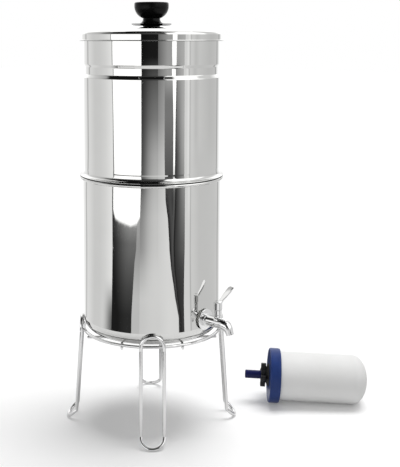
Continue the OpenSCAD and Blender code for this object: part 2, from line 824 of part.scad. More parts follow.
module ceramic_shell_left() { installed(0) ceramic_shell(); }
module carbon_core_left() { installed(0) carbon_core(); }
module cartridge_cap_left() { installed(0) cartridge_cap(); }
module cap_seal_left() { installed(0) cap_seal(); }
module wing_nut_left() { at_hole(0) translate([0, 0, upper_base_z]) wing_nut(); }

module ceramic_shell_right() { installed(1) ceramic_shell(); }
module carbon_core_right() { installed(1) carbon_core(); }
module cartridge_cap_right() { installed(1) cartridge_cap(); }
module cap_seal_right() { installed(1) cap_seal(); }
module wing_nut_right() { at_hole(1) translate([0, 0, upper_base_z]) wing_nut(); }

module ceramic_shell_loose() { lying() ceramic_shell(); }
module carbon_core_loose() { lying() carbon_core(); }
module cartridge_cap_loose() { lying() cartridge_cap(); }
module cap_seal_loose() { lying() cap_seal(); }
module wing_nut_loose() { lying() translate([0, 0, -cap_seal_t]) wing_nut(); }

module hole_plug() {
    color(BLACK)
        at_hole(2)
            translate([0, 0, upper_floor_z + plug_seal_t]) {
                cylinder(h = plug_head_h, d = plug_head_d);
                translate([0, 0, -plug_thread_len]) cylinder(h = plug_thread_len, d = stem_d);
            }
}

module plug_seal() {
    color(SILICONE)
        at_hole(2)
            translate([0, 0, upper_floor_z])
                difference() {
                    cylinder(h = plug_seal_t, d = plug_head_d);
                    translate([0, 0, -OVER])
                        cylinder(h = plug_seal_t + 2 * OVER, d = stem_d + 2 * stem_clearance);
                }
}

module plug_nut() { at_hole(2) translate([0, 0, upper_base_z]) wing_nut(); }

// ------------------------------------------------------------------ lid

module lid() {
    wall = concat(
        [[lid_r + lid_brim_w, lid_brim_z], [lid_r, lid_brim_z]],
        arc([lid_arc_r, lid_arc_z], lid_shoulder_r, 0, dome_angle),
        arc([0, lid_top_z - dome_r], dome_r, dome_angle, 90)
    );
    color(STEEL)
        difference() {
            rotate_extrude() sheet_profile(wall, sheet_t);
            translate([0, 0, lid_arc_z]) cylinder(h = lid_dome_h + OVER, d = knob_hole_d);
        }
}

module lid_knob() {
    neck_r = knob_neck_d / 2;
    foot_z = knob_boss_h + knob_foot_t;
    bowl_centre = [knob_d / 2 - knob_bowl_r, knob_h - 6];
    bowl_start = -acos((neck_r - bowl_centre[0]) / knob_bowl_r);
    profile = concat(
        [[0, 0], [knob_boss_d / 2, 0], [knob_boss_d / 2, knob_boss_h],
         [knob_foot_d / 2, knob_boss_h], [knob_foot_d / 2, foot_z]],
        arc([neck_r + knob_neck_curve_r, foot_z + knob_neck_curve_r], knob_neck_curve_r, 270, 180),
        arc(bowl_centre, knob_bowl_r, bowl_start, 0, 2 * ARC_STEPS),
        arc([knob_d / 2 - knob_edge_r, knob_h - knob_edge_r], knob_edge_r, 0, 90),
        [[0, knob_h]]
    );
    color(BLACK)
        translate([0, 0, lid_top_z])
            difference() {
                rotate_extrude() polygon(profile);
                translate([0, 0, -OVER])
                    cylinder(h = knob_screw_len + OVER, d = knob_screw_d + 2 * shaft_clearance);
            }
}

module knob_washer() {
    color(CHROME)
        translate([0, 0, lid_top_z - sheet_t - knob_washer_t - 0.1])
            difference() {
                cylinder(h = knob_washer_t, d = knob_washer_d);
                translate([0, 0, -OVER]) cylinder(h = knob_washer_t + 2 * OVER, d = knob_hole_d);
            }
}

module knob_screw() {
    head_z = lid_top_z - sheet_t - knob_washer_t - 0.1 - knob_screw_head_h;
    color(CHROME)
        difference() {
            union() {
                translate([0, 0, head_z]) cylinder(h = knob_screw_head_h, d = knob_screw_head_d);
                translate([0, 0, head_z + knob_screw_head_h])
                    cylinder(h = knob_screw_len, d = knob_screw_d);
            }
            for (a = [0, 90])
                rotate([0, 0, a])
                    translate([-knob_screw_d / 2, -0.5, head_z - OVER])
                        cube([knob_screw_d, 1, OVER + knob_screw_head_h / 2]);
        }
}

stand_ring();
leg_front_left();
leg_front_right();
leg_back_right();
leg_back_left();
cross_wire_front();
cross_wire_back();
cross_wire_left();
cross_wire_right();
lower_chamber();
tap_body();
tap_escutcheon();
tap_outer_seal();
tap_inner_seal();
tap_nut();
gland_nut();
packing_ring_lower();
packing_ring_upper();
ball_seat_front();
ball_seat_rear();
seat_retainer();
valve_ball();
valve_stem();
tap_lever();
lever_set_screw();
upper_chamber();
ceramic_shell_left();
carbon_core_left();
cartridge_cap_left();
cap_seal_left();
wing_nut_left();
ceramic_shell_right();
carbon_core_right();
cartridge_cap_right();
cap_seal_right();
wing_nut_right();
hole_plug();
plug_seal();
plug_nut();
lid();
lid_knob();
knob_screw();
knob_washer();
ceramic_shell_loose();
carbon_core_loose();
cartridge_cap_loose();
cap_seal_loose();
wing_nut_loose();
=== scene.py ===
import json
import math

import bmesh
import bpy
from mathutils import Matrix, Vector


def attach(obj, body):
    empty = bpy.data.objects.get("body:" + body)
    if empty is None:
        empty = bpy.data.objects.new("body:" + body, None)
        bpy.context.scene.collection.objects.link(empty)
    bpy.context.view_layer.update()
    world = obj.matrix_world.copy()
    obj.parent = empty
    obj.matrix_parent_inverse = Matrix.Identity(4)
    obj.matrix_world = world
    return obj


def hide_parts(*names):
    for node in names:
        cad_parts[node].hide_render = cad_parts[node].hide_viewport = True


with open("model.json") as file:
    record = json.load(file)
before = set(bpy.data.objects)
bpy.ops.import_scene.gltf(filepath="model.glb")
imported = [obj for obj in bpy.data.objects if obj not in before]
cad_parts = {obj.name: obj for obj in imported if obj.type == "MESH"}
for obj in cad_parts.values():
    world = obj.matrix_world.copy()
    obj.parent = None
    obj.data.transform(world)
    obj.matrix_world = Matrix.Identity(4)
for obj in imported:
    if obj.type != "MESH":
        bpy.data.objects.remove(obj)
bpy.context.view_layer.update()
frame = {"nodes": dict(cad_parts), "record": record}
NODES = frame["nodes"]
scene = bpy.context.scene

MM = 0.001
CAMERA_TURN = -48.0      # turn of the camera round Z from looking along +Y, in degrees

# Sizes in millimetres, as in the CAD. An R is a radius, round the chambers' axis or of a bend, a D or a WIRE
# is a diameter, and a Z is a height over the floor.
RING_R, RING_Z, RING_WIRE = 117.5, 165.0, 5.0
LEG_WIRE, LOOP_R = 6.0, 19.0
# reach of a leg's upper wires, which touch the ring from outside
LEG_PLANE_R = math.sqrt((RING_R + RING_WIRE / 2 + LEG_WIRE / 2) ** 2 - LOOP_R ** 2)
FOOT_ANGLE, FOOT_TIP_R, FOOT_STRAIGHT, FOOT_BEND_R = 44.0, 147.0, 0.5, 5.0
LEG_BEND_R, LEG_BEND_Z, STAND_TURN = 20.0, 160.0, 42.7
SHEET = 0.8
LOWER_R, BASE_Z, BASE_CORNER_R, RIM_Z, RIM_R, RIM_D = 117.5, 162.8, 24.0, 429.9, 119.9, 5.8
FOOT_R, UPPER_R, UPPER_BASE_Z, SHOULDER_Z = 115.9, 115.0, 415.1, 433.1
FOOT_CORNER_R, HEM_R, COVE_R = 6.0, 1.0, 6.4
WALL_END_Z, GROOVE_R, GROOVE_FLOOR_Z, GROOVE_TOP_Z = 598.8, 111.9, 604.0, 616.2
MOUTH_R, BAND_Z, MOUTH_Z, MOUTH_BEAD_D = 114.3, 620.6, 669.4, 3.2
LID_R, LID_BRIM_W, LID_SHOULDER_R, LID_WALL_H, LID_DOME_H = 117.4, 3.2, 10.0, 8.1, 18.3
LID_GAP = 0.3            # between the inside of the lid's shoulder and the bead of the mouth
BEAD_INSET = LID_SHOULDER_R - SHEET - LID_GAP - MOUTH_BEAD_D / 2
LID_ARC_Z = MOUTH_Z - math.sqrt(BEAD_INSET ** 2 - (MOUTH_R - LID_R + LID_SHOULDER_R) ** 2)
LID_TOP_Z = LID_ARC_Z + LID_DOME_H
TAP_Z, LEVER_REACH_Y = 200.5, 29.1      # the tap's axis, and the lever's axis from the wall


# ------------------------------------------------------------------ mesh helpers

def ease(x):
    """A smooth step: 0 up to 0, 1 from 1 on."""
    x = min(1.0, max(0.0, x))
    return x * x * (3 - 2 * x)


def between(stops, x):
    """The value at x on a line through (x, value) stops."""
    if x <= stops[0][0]:
        return stops[0][1]
    for (x0, v0), (x1, v1) in zip(stops, stops[1:]):
        if x <= x1:
            return v0 + (v1 - v0) * (x - x0) / (x1 - x0)
    return stops[-1][1]


def arc(cx, cy, r, a0, a1, n=12):
    """n + 1 points of an arc round (cx, cy), between two angles in degrees."""
    return [(cx + r * math.cos(math.radians(a0 + (a1 - a0) * i / n)),
             cy + r * math.sin(math.radians(a0 + (a1 - a0) * i / n))) for i in range(n + 1)]


MOST_OF_RUN = 0.49       # the share of a straight run that the arc at one of its ends may take
NEAR_ENDS = (0.25, 0.8, 2.4)            # where a long run gets points near its ends, in millimetres
LONG_RUN = 6.0           # a run that is shorter gets none


def rounded(path, radii, n=8):
    """An open path with an arc of the given radius at each inner point."""
    out = [path[0]]
    for i in range(1, len(path) - 1):
        p, a, b, r = Vector(path[i]), Vector(path[i - 1]), Vector(path[i + 1]), radii[i - 1]
        u, v = (a - p).normalized(), (b - p).normalized()
        half = u.angle(v) / 2
        if r <= 0 or abs(half - math.pi / 2) < 1e-4:
            out.append(tuple(p))
            continue
        room = MOST_OF_RUN * min((a - p).length, (b - p).length)
        cut = min(r / math.tan(half), room)
        centre = p + (u + v).normalized() * (cut / math.cos(half))
        start, end = p + u * cut - centre, p + v * cut - centre
        turn = start.angle_signed(end)
        for k in range(n + 1):
            c, s = math.cos(-turn * k / n), math.sin(-turn * k / n)
            out.append((centre.x + start.x * c - start.y * s, centre.y + start.x * s + start.y * c))
    out.append(path[-1])
    return out


def clean(path):
    """The path without points that repeat the last one."""
    out = []
    for p in path:
        if not out or math.dist(p, out[-1]) > 1e-4:
            out.append(tuple(p))
    return out


def offset(path, t):
    """The path moved t to its left, mitred."""
    way, out = [Vector(p) for p in clean(path)], []
    for i, p in enumerate(way):
        d0 = (way[max(i, 1)] - way[max(i - 1, 0)]).normalized()
        d1 = (way[min(i + 1, len(way) - 1)] - way[min(i, len(way) - 2)]).normalized()
        n0, n1 = Vector((-d0.y, d0.x)), Vector((-d1.y, d1.x))
        m = (n0 + n1).normalized()
        q = p + m * t / max(m.dot(n0), 0.3)
        out.append((max(q.x, 0.0), q.y))
    return out


def dense(path, longest=24.0, closed=True):
    """Adds points near the ends of each long straight run, so that smooth shading stays true."""
    out = []
    for p, q in zip(path, path[1:] + path[:1] if closed else path[1:]):
        length = math.dist(p, q)
        out.append(p)
        if length < LONG_RUN:
            continue
        middle = length - 2 * NEAR_ENDS[-1]
        inner = max(1, round(middle / longest))
        steps = [*NEAR_ENDS]
        steps += [NEAR_ENDS[-1] + middle * k / inner for k in range(1, inner)]
        steps += [length - near for near in reversed(NEAR_ENDS)]
        out += [(p[0] + (q[0] - p[0]) * s / length, p[1] + (q[1] - p[1]) * s / length) for s in steps]
    return out if closed else out + [path[-1]]


def add_lathe(bm, loop, segments=128, place=None):
    """Turns a closed loop of (r, z) points round Z into a bmesh."""
    place = place or Matrix()
    loop = clean(loop)
    if math.dist(loop[0], loop[-1]) < 1e-4:
        loop.pop()
    rings = []
    for r, z in loop:
        r, count = (0.0, 1) if r < 1e-4 else (r, segments)
        rings.append([bm.verts.new(place @ Vector((r * math.cos(2 * math.pi * k / segments),
                                                   r * math.sin(2 * math.pi * k / segments), z)))
                      for k in range(count)])
    faces = []
    for a, b in zip(rings, rings[1:] + rings[:1]):
        if len(a) == 1 and len(b) == 1:
            continue
        for k in range(segments):
            m = (k + 1) % segments
            if len(a) == 1:
                faces.append(bm.faces.new((a[0], b[m], b[k])))
            elif len(b) == 1:
                faces.append(bm.faces.new((a[k], a[m], b[0])))
            else:
                faces.append(bm.faces.new((a[k], a[m], b[m], b[k])))
    return faces


def add_tube(bm, path, radius, sides=20, closed=False, place=None, caps=True):
    """Sweeps a round wire along 3-D points; radius is a number or one per point."""
    place = place or Matrix()
    pts = [Vector(p) for p in path]
    n = len(pts)
    radii = radius if isinstance(radius, (list, tuple)) else [radius] * n
    tangents = []
    for i in range(n):
        a = pts[(i - 1) % n] if closed or i else pts[0]
        b = pts[(i + 1) % n] if closed or i < n - 1 else pts[-1]
        tangents.append((b - a).normalized())
    side = tangents[0].orthogonal().normalized()
    frames = [side]
    for i in range(1, n):
        turn = tangents[i - 1].rotation_difference(tangents[i])
        side = turn @ side
        frames.append((side - tangents[i] * side.dot(tangents[i])).normalized())
    twist = 0.0
    if closed:
        last = tangents[-1].rotation_difference(tangents[0]) @ frames[-1]
        twist = math.atan2(tangents[0].dot(last.cross(frames[0])), last.dot(frames[0]))
    rings = []
    for i in range(n):
        u = frames[i]
        v = tangents[i].cross(u)
        extra = twist * i / n if closed else 0.0
        rings.append([bm.verts.new(place @ (pts[i] + radii[i] * (
            u * math.cos(2 * math.pi * k / sides + extra) + v * math.sin(2 * math.pi * k / sides + extra))))
            for k in range(sides)])
    join_rings(bm, rings, closed)
    if caps and not closed:
        bm.faces.new(list(reversed(rings[0])))
        bm.faces.new(rings[-1])
    return rings


def join_rings(bm, rings, closed=False):
    """Faces between rings with as many points each, and from the last back to the first if closed."""
    for a, b in zip(rings, rings[1:] + rings[:1] if closed else rings[1:]):
        for k in range(len(a)):
            m = (k + 1) % len(a)
            bm.faces.new((a[k], a[m], b[m], b[k]))


def piece(name, bm, material, body, slot=None, nodes=(), sharp=32.0, materials=()):
    """Makes an object of a bmesh given in millimetres, smooth but for its sharp edges."""
    bmesh.ops.remove_doubles(bm, verts=bm.verts, dist=1e-5)
    bmesh.ops.recalc_face_normals(bm, faces=bm.faces)
    for f in bm.faces:
        f.smooth = True
    for e in bm.edges:
        if len(e.link_faces) == 2 and e.calc_face_angle(0.0) > math.radians(sharp):
            e.smooth = False
    bmesh.ops.scale(bm, vec=(MM, MM, MM), verts=bm.verts)
    mesh = bpy.data.meshes.new(name)
    bm.to_mesh(mesh)
    bm.free()
    for m in (material, *materials):
        mesh.materials.append(m)
    obj = bpy.data.objects.new(name, mesh)
    scene.collection.objects.link(obj)
    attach(obj, body)
    if nodes:
        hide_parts(*nodes)


def turned(name, loop, material, body, segments=128, place=None, dark=None, **rest):
    """A piece turned from a closed loop; faces where dark(r, z) holds get the second material."""
    bm = bmesh.new()
    back = (place or Matrix()).inverted()
    for f in add_lathe(bm, loop, segments, place):
        middle = back @ f.calc_center_median()
        if dark and dark(math.hypot(middle.x, middle.y), middle.z):
            f.material_index = 1
    piece(name, bm, material, body, **rest)


# ------------------------------------------------------------------ materials

class Nodes:
    """A few shorthands for building a material's nodes."""

    def __init__(self, name):
        self.material = bpy.data.materials.new(name)
        self.material.use_nodes = True
        self.tree = self.material.node_tree
        self.tree.nodes.clear()
        self.out = self.tree.nodes.new("ShaderNodeOutputMaterial")
        self.bsdf = self.tree.nodes.new("ShaderNodeBsdfPrincipled")
        self.link(self.bsdf.outputs[0], self.out.inputs["Surface"])
        self.coords = self.tree.nodes.new("ShaderNodeTexCoord").outputs["Object"]

    def link(self, a, b):
        self.tree.links.new(a, b)

    def set(self, **values):
        for key, value in values.items():
            self.bsdf.inputs[key.replace("_", " ")].default_value = value

    def stretched(self, scale):
        node = self.tree.nodes.new("ShaderNodeMapping")
        node.inputs["Scale"].default_value = scale
        self.link(self.coords, node.inputs["Vector"])
        return node.outputs[0]

    def noise(self, scale, detail=2.0, vector=None):
        node = self.tree.nodes.new("ShaderNodeTexNoise")
        node.inputs["Scale"].default_value = scale
        node.inputs["Detail"].default_value = detail
        self.link(vector or self.coords, node.inputs["Vector"])
        return node.outputs["Fac"]

    def spread(self, value, low, high, start=0.3, end=0.7):
        node = self.tree.nodes.new("ShaderNodeMapRange")
        for key, v in zip(("From Min", "From Max", "To Min", "To Max"), (start, end, low, high)):
            node.inputs[key].default_value = v
        self.link(value, node.inputs["Value"])
        return node.outputs[0]

    def blend(self, fac, a, b):
        node = self.tree.nodes.new("ShaderNodeMix")
        node.data_type = "RGBA"
        for socket, value in ((node.inputs[6], a), (node.inputs[7], b)):
            if isinstance(value, (tuple, list)):
                socket.default_value = (*value, 1.0)
            else:
                self.link(value, socket)
        self.link(fac, node.inputs[0])
        return node.outputs[2]

    def bump(self, height, distance, normal=None):
        node = self.tree.nodes.new("ShaderNodeBump")
        node.inputs["Distance"].default_value = distance
        self.link(height, node.inputs["Height"])
        if normal:
            self.link(normal, node.inputs["Normal"])
        return node.outputs[0]


def metal(name, color, rough, more_rough, wave=0.0, wave_scale=8.0, polish=0.0):
    """Polished metal: faint clouding, faint polishing lines and, on sheet, a slight waviness."""
    n = Nodes(name)
    n.set(Metallic=1.0)
    cloud = n.noise(22.0, 4.0)
    shade = tuple(c * 0.97 for c in color)
    n.link(n.blend(n.spread(cloud, 0.0, 1.0), shade, color), n.bsdf.inputs["Base Color"])
    lines = n.noise(1.0, 3.0, n.stretched((420.0, 420.0, 9.0)))
    n.link(n.spread(lines, rough, more_rough), n.bsdf.inputs["Roughness"])
    normal = None
    if wave:
        normal = n.bump(n.noise(wave_scale, 1.0), wave)
    if polish:
        normal = n.bump(lines, polish, normal)
    if normal:
        n.link(normal, n.bsdf.inputs["Normal"])
    return n.material


def plastic(name, color, rough, specular, grain=0.00003, grain_scale=900.0, cloud=0.85):
    """Moulded plastic or rubber: a fine grain and a slight mottling."""
    n = Nodes(name)
    n.set(Specular_IOR_Level=specular)
    patch = n.noise(60.0, 4.0)
    shade = tuple(c * cloud for c in color)
    n.link(n.blend(n.spread(patch, 0.0, 1.0), shade, color), n.bsdf.inputs["Base Color"])
    fine = n.noise(grain_scale, 2.0)
    n.link(n.spread(fine, rough * 0.85, rough * 1.15), n.bsdf.inputs["Roughness"])
    n.link(n.bump(fine, grain), n.bsdf.inputs["Normal"])
    return n.material


def ceramic_material():
    """White unglazed ceramic: faint clouding, fine pores and a slight unevenness."""
    n = Nodes("porous_ceramic")
    n.set(Specular_IOR_Level=0.15, Roughness=0.85, Subsurface_Weight=0.0)
    cloud = n.noise(26.0, 5.0)
    n.link(n.blend(n.spread(cloud, 0.0, 1.0), (0.855, 0.855, 0.845), (0.885, 0.885, 0.88)),
           n.bsdf.inputs["Base Color"])
    pores = n.noise(1500.0, 3.0)
    unevenness = n.noise(1.0, 2.0, n.stretched((60.0, 60.0, 60.0)))
    n.link(n.bump(pores, 0.00008, n.bump(unevenness, 0.00015)), n.bsdf.inputs["Normal"])
    return n.material


def carbon_material():
    """Pressed carbon: coarse black grains."""
    n = Nodes("pressed_carbon")
    n.set(Specular_IOR_Level=0.2, Roughness=0.9)
    grains = n.noise(700.0, 4.0)
    n.link(n.blend(n.spread(grains, 0.0, 1.0), (0.012, 0.012, 0.012), (0.035, 0.035, 0.035)),
           n.bsdf.inputs["Base Color"])
    n.link(n.bump(grains, 0.0003), n.bsdf.inputs["Normal"])
    return n.material


STEEL = metal("mirror_steel", (0.62, 0.62, 0.61), 0.015, 0.045,
              wave=0.00012, wave_scale=7.0, polish=0.0000012)
WIRE = metal("polished_wire", (0.66, 0.66, 0.66), 0.05, 0.11)
CHROME = metal("tap_plating", (0.74, 0.74, 0.74), 0.02, 0.05)
# steel with painted shade: a near-black copy of the polished steel, put on faces in creases and under edges
# where shade falls
PAINTED_SHADE_STEEL = metal("steel_painted_shade", (0.045, 0.045, 0.045), 0.35, 0.5)
SCREW = metal("plain_screw_steel", (0.62, 0.62, 0.61), 0.22, 0.34)
DARK = metal("blackened_steel", (0.08, 0.08, 0.08), 0.25, 0.4)
KNOB = plastic("knob_black", (0.005, 0.005, 0.005), 0.3, 0.1)
KNOB_FOOT = plastic("knob_foot_black", (0.004, 0.004, 0.004), 0.5, 0.01)
BLACK = plastic("nut_black", (0.012, 0.012, 0.013), 0.42, 0.25)
RUBBER = plastic("washer_rubber", (0.014, 0.014, 0.014), 0.62, 0.3)
SILICONE = plastic("milky_silicone", (0.82, 0.82, 0.79), 0.4, 0.4, cloud=0.96)
SEAT = plastic("seat_white", (0.9, 0.9, 0.88), 0.4, 0.4, cloud=0.97)
BLUE = plastic("cap_blue", (0.020, 0.046, 0.185), 0.36, 0.18)
# the cap's blue made darker: painted shade for the stem under the cap
BLUE_PAINTED_SHADE = plastic("cap_blue_painted_shade", (0.006, 0.009, 0.075), 0.36, 0.2)
CERAMIC = ceramic_material()
CARBON = carbon_material()

BY_SLOT = {
    "wire": WIRE, "polished_steel": STEEL, "tap_chrome": CHROME, "screw_steel": SCREW, "dark_steel": DARK,
    "clear_seal": SILICONE, "white_seat": SEAT, "black_knob": KNOB, "black_plastic": BLACK,
    "black_rubber": RUBBER, "ceramic": CERAMIC, "carbon": CARBON, "blue_plastic": BLUE,
}
SLOT_OF = {row["node"]: row["material_slot"] for row in frame["record"]["subparts"]}
for node_name, node_object in NODES.items():
    for held in node_object.material_slots:
        held.material = BY_SLOT[SLOT_OF[node_name]]


# ------------------------------------------------------------------ stand

RING_STEPS, LOOP_STEPS, WIRE_SIDES = 240, 36, 20


def leg_side():
    """Centre line of a leg's side wire as (reach, height), from the ring to the middle of its round tip."""
    ca, sa = math.cos(math.radians(FOOT_ANGLE)), math.sin(math.radians(FOOT_ANGLE))
    centre = (FOOT_TIP_R - LOOP_R * ca, LEG_WIRE / 2 + LOOP_R * sa)
    back = FOOT_STRAIGHT + FOOT_BEND_R * math.tan(math.radians((90 - FOOT_ANGLE) / 2))
    kink = (centre[0] - back * ca, centre[1] + back * sa)
    corners = [(LEG_PLANE_R, RING_Z), (LEG_PLANE_R, LEG_BEND_Z), kink, centre]
    return dense(rounded(corners, [LEG_BEND_R, FOOT_BEND_R], 14), 12.0, closed=False)


def build_leg(name, node, turn):
    """A closed loop of wire: down one side, round the foot's tip, up the other side and over the top."""
    side = leg_side()
    reach, height = side[-1]
    ca, sa = math.cos(math.radians(FOOT_ANGLE)), math.sin(math.radians(FOOT_ANGLE))
    half_turn = [math.pi * k / LOOP_STEPS for k in range(1, LOOP_STEPS)]
    path = [(LOOP_R, -r, z) for r, z in side]
    path += [(LOOP_R * math.cos(t), -(reach + LOOP_R * math.sin(t) * ca), height - LOOP_R * math.sin(t) * sa)
             for t in half_turn]
    path += [(-LOOP_R, -r, z) for r, z in reversed(side)]
    path += [(-LOOP_R * math.cos(t), -LEG_PLANE_R, RING_Z + LOOP_R * math.sin(t)) for t in half_turn]
    bm = bmesh.new()
    around = Matrix.Rotation(math.radians(turn), 4, "Z")
    add_tube(bm, path, LEG_WIRE / 2, WIRE_SIDES, closed=True, place=around)
    piece(name, bm, WIRE, "stand", "wire", (node,))


def build_ring():
    """The wire hoop that carries the lower chamber."""
    bm = bmesh.new()
    path = [(RING_R * math.cos(2 * math.pi * k / RING_STEPS), RING_R * math.sin(2 * math.pi * k / RING_STEPS),
             RING_Z) for k in range(RING_STEPS)]
    add_tube(bm, path, RING_WIRE / 2, WIRE_SIDES, closed=True)
    piece("ring_wire", bm, WIRE, "stand", "wire", ("stand_ring",))


build_ring()
for k, where in enumerate(("front_right", "back_right", "back_left", "front_left")):
    build_leg("leg_wire_" + where, "leg_" + where, STAND_TURN + 90 * k)


# ------------------------------------------------------------------ chambers and lid

def build_lower_chamber():
    """The base with its rounded corner, the upright wall and the rolled rim, whose bead carries painted shade
    on its upper side.
    """
    sunk, painted_shade_start = 0.05, 2.15
    wall = [(0, BASE_Z)] + arc(LOWER_R - BASE_CORNER_R, BASE_Z + BASE_CORNER_R, BASE_CORNER_R, -90, 0, 28)
    start = -math.degrees(math.acos((LOWER_R - RIM_R) / (RIM_D / 2)))
    wall.append((LOWER_R, RIM_Z + RIM_D / 2 * math.sin(math.radians(start))))
    bead = arc(RIM_R - sunk, RIM_Z, RIM_D / 2, start, 180, 40)
    inner = offset(wall, SHEET)
    inner[-1] = (LOWER_R - SHEET, RIM_Z - 0.5)
    loop = dense(clean(wall + bead + list(reversed(inner))))
    # faces of the bead's upper side get the steel with painted shade, a dark line where shade falls between
    # the rim and the upper chamber's hem
    turned("lower_chamber_shell", loop, STEEL, "lower", 256, slot="polished_steel",
           nodes=("lower_chamber",), materials=(PAINTED_SHADE_STEEL,), dark=lambda r, z: z > RIM_Z + painted_shade_start)


def build_upper_chamber():
    """The foot, the hem on the rim, a cove up to the wall, the recessed groove and the band to the mouth."""
    hem = (UPPER_R + COVE_R, SHOULDER_Z + HEM_R)
    cove_r = COVE_R + 0.14
    cove_top = SHOULDER_Z + 2 * HEM_R + cove_r
    slope_start, slope_end = cove_top + 3.2, cove_top + 5.5
    slope_bend_r, groove_bend_r = 12.0, 3.0
    wall_middle_z, bead_sunk = 470, 1.5
    path = [(0, UPPER_BASE_Z)]
    path += arc(FOOT_R - FOOT_CORNER_R, UPPER_BASE_Z + FOOT_CORNER_R, FOOT_CORNER_R, -90, 0, 12)
    path += [(FOOT_R, SHOULDER_Z)]
    path += arc(*hem, HEM_R, -90, 90, 14)
    path += arc(hem[0], cove_top, cove_r, 270, 180, 24)
    path += rounded([(hem[0] - cove_r, cove_top + 0.2), (hem[0] - cove_r, slope_start), (UPPER_R, slope_end),
                     (UPPER_R, wall_middle_z), (UPPER_R, WALL_END_Z), (GROOVE_R, GROOVE_FLOOR_Z),
                     (GROOVE_R, GROOVE_TOP_Z), (MOUTH_R, BAND_Z), (MOUTH_R, MOUTH_Z - bead_sunk)],
                    [slope_bend_r] * 2 + [0.0] + [groove_bend_r] * 4, 12)
    path = clean(path)
    bead = arc(MOUTH_R, MOUTH_Z, MOUTH_BEAD_D / 2, -70, 230, 20)
    loop = dense(clean(path + bead + list(reversed(offset(path, SHEET)))))
    # faces of the hem's lower half get the steel with painted shade, a dark line where shade falls between
    # the hem and the lower chamber's rim
    turned("upper_chamber_shell", loop, STEEL, "upper", 256, slot="polished_steel",
           nodes=("upper_chamber",), materials=(PAINTED_SHADE_STEEL,),
           dark=lambda r, z: r > FOOT_R + 0.2 and z < hem[1] + 0.1)


def build_lid():
    """A brim with a rolled edge, an upright side, a tight corner, a crown bend and a shallow dome."""
    edge_r, corner_r, corner_z, crown_r, corner_end = 0.85, 5.6, LID_TOP_Z - 15.8, 36.0, 58.0
    edge = (LID_R + LID_BRIM_W - edge_r - 0.05, LID_ARC_Z - LID_WALL_H + edge_r)
    brim_top, brim_start, brim_bend_r = edge[1] + SHEET / 2, edge[0] - 0.95, 0.8
    ca, sa = math.cos(math.radians(corner_end)), math.sin(math.radians(corner_end))
    crown = (LID_R - corner_r - (crown_r - corner_r) * ca, corner_z - (crown_r - corner_r) * sa)
    # the dome's arc touches the crown's arc and is level at the top
    crown_end = 90 - 2 * math.degrees(math.atan((LID_TOP_Z - crown[1] - crown_r) / crown[0]))
    dome_r = crown_r + crown[0] / math.cos(math.radians(crown_end))
    path = rounded([(brim_start, brim_top), (LID_R, brim_top), (LID_R, corner_z)], [brim_bend_r], 8)
    path += arc(LID_R - corner_r, corner_z, corner_r, 0, corner_end, 20)
    path += arc(*crown, crown_r, corner_end, crown_end, 24)
    path += arc(0, LID_TOP_Z - dome_r, dome_r, crown_end, 90, 60)
    path = clean(path)
    loop = clean(path + list(reversed(offset(path, SHEET))) + arc(*edge, edge_r, 205, 515, 24))
    # faces of the brim's rolled edge below its middle get the steel with painted shade, a dark line where
    # shade falls under the brim
    turned("lid_shell", dense(loop), STEEL, "lid", 256, slot="polished_steel", nodes=("lid",),
           materials=(PAINTED_SHADE_STEEL,), dark=lambda r, z: r > LID_R + 0.3 and z < edge[1] - 0.15)


def build_knob():
    """A thin flared foot, a waist, a bowl and a flat top with a rounded edge."""
    height, top_r, top_edge_r = 37.4, 28.9, 3.0
    bowl_r, bowl_z = 21.9, height - 6
    waist_r, cove_r, foot_top_z = 14.3, 8.5, 1.8
    foot_r, foot_edge_r, foot_base_r = 32.9, 0.55, 18.6
    dull_z = 2.2             # the foot is duller up to here
    bowl_x = top_r - bowl_r
    start = -math.degrees(math.acos((waist_r - bowl_x) / bowl_r))
    loop = [(0, 0), (foot_base_r, 0)] + arc(foot_base_r, 0.4, 0.4, -90, 0, 4)
    loop += [(foot_base_r + 0.4, 0.7), (foot_r + 0.2, 0.7)]
    loop += arc(foot_r, foot_top_z - foot_edge_r, foot_edge_r, -60, 90, 8)
    loop += arc(waist_r + cove_r, foot_top_z + cove_r, cove_r, 270, 180, 18)
    loop += arc(bowl_x, bowl_z, bowl_r, start, 0, 28)
    loop += arc(top_r - top_edge_r, height - top_edge_r, top_edge_r, 0, 80, 10)
    loop += [(20.0, height - 0.12), (10.0, height - 0.02), (0, height)]
    turned("knob_moulding", dense(clean(loop), 8.0), KNOB, "lid", 96,
           Matrix.Translation((0, 0, LID_TOP_Z)), slot="black_knob", nodes=("lid_knob",), sharp=50,
           materials=(KNOB_FOOT,), dark=lambda r, z: z < dull_z)


build_lower_chamber()
build_upper_chamber()
build_lid()
build_knob()


# ------------------------------------------------------------------ tap

ON_TAP = Matrix.Translation((0, -LOWER_R, TAP_Z)) @ Matrix.Rotation(math.radians(90), 4, "X")
ON_LEVER = Matrix.Translation((0, -LOWER_R - LEVER_REACH_Y, TAP_Z))


BODY_R, BEND_START, BEND_R, BEND_ANGLE, TIP_LEN = 9.0, 37.1, 16.7, 70, 5.0
BORE_R, SHANK_R, SHANK_END, PITCH = 4.5, 8.0, -23.0, 1.5
COLLAR_START, COLLAR_END, COLLAR_R = 4.5, 8.1, 11.0


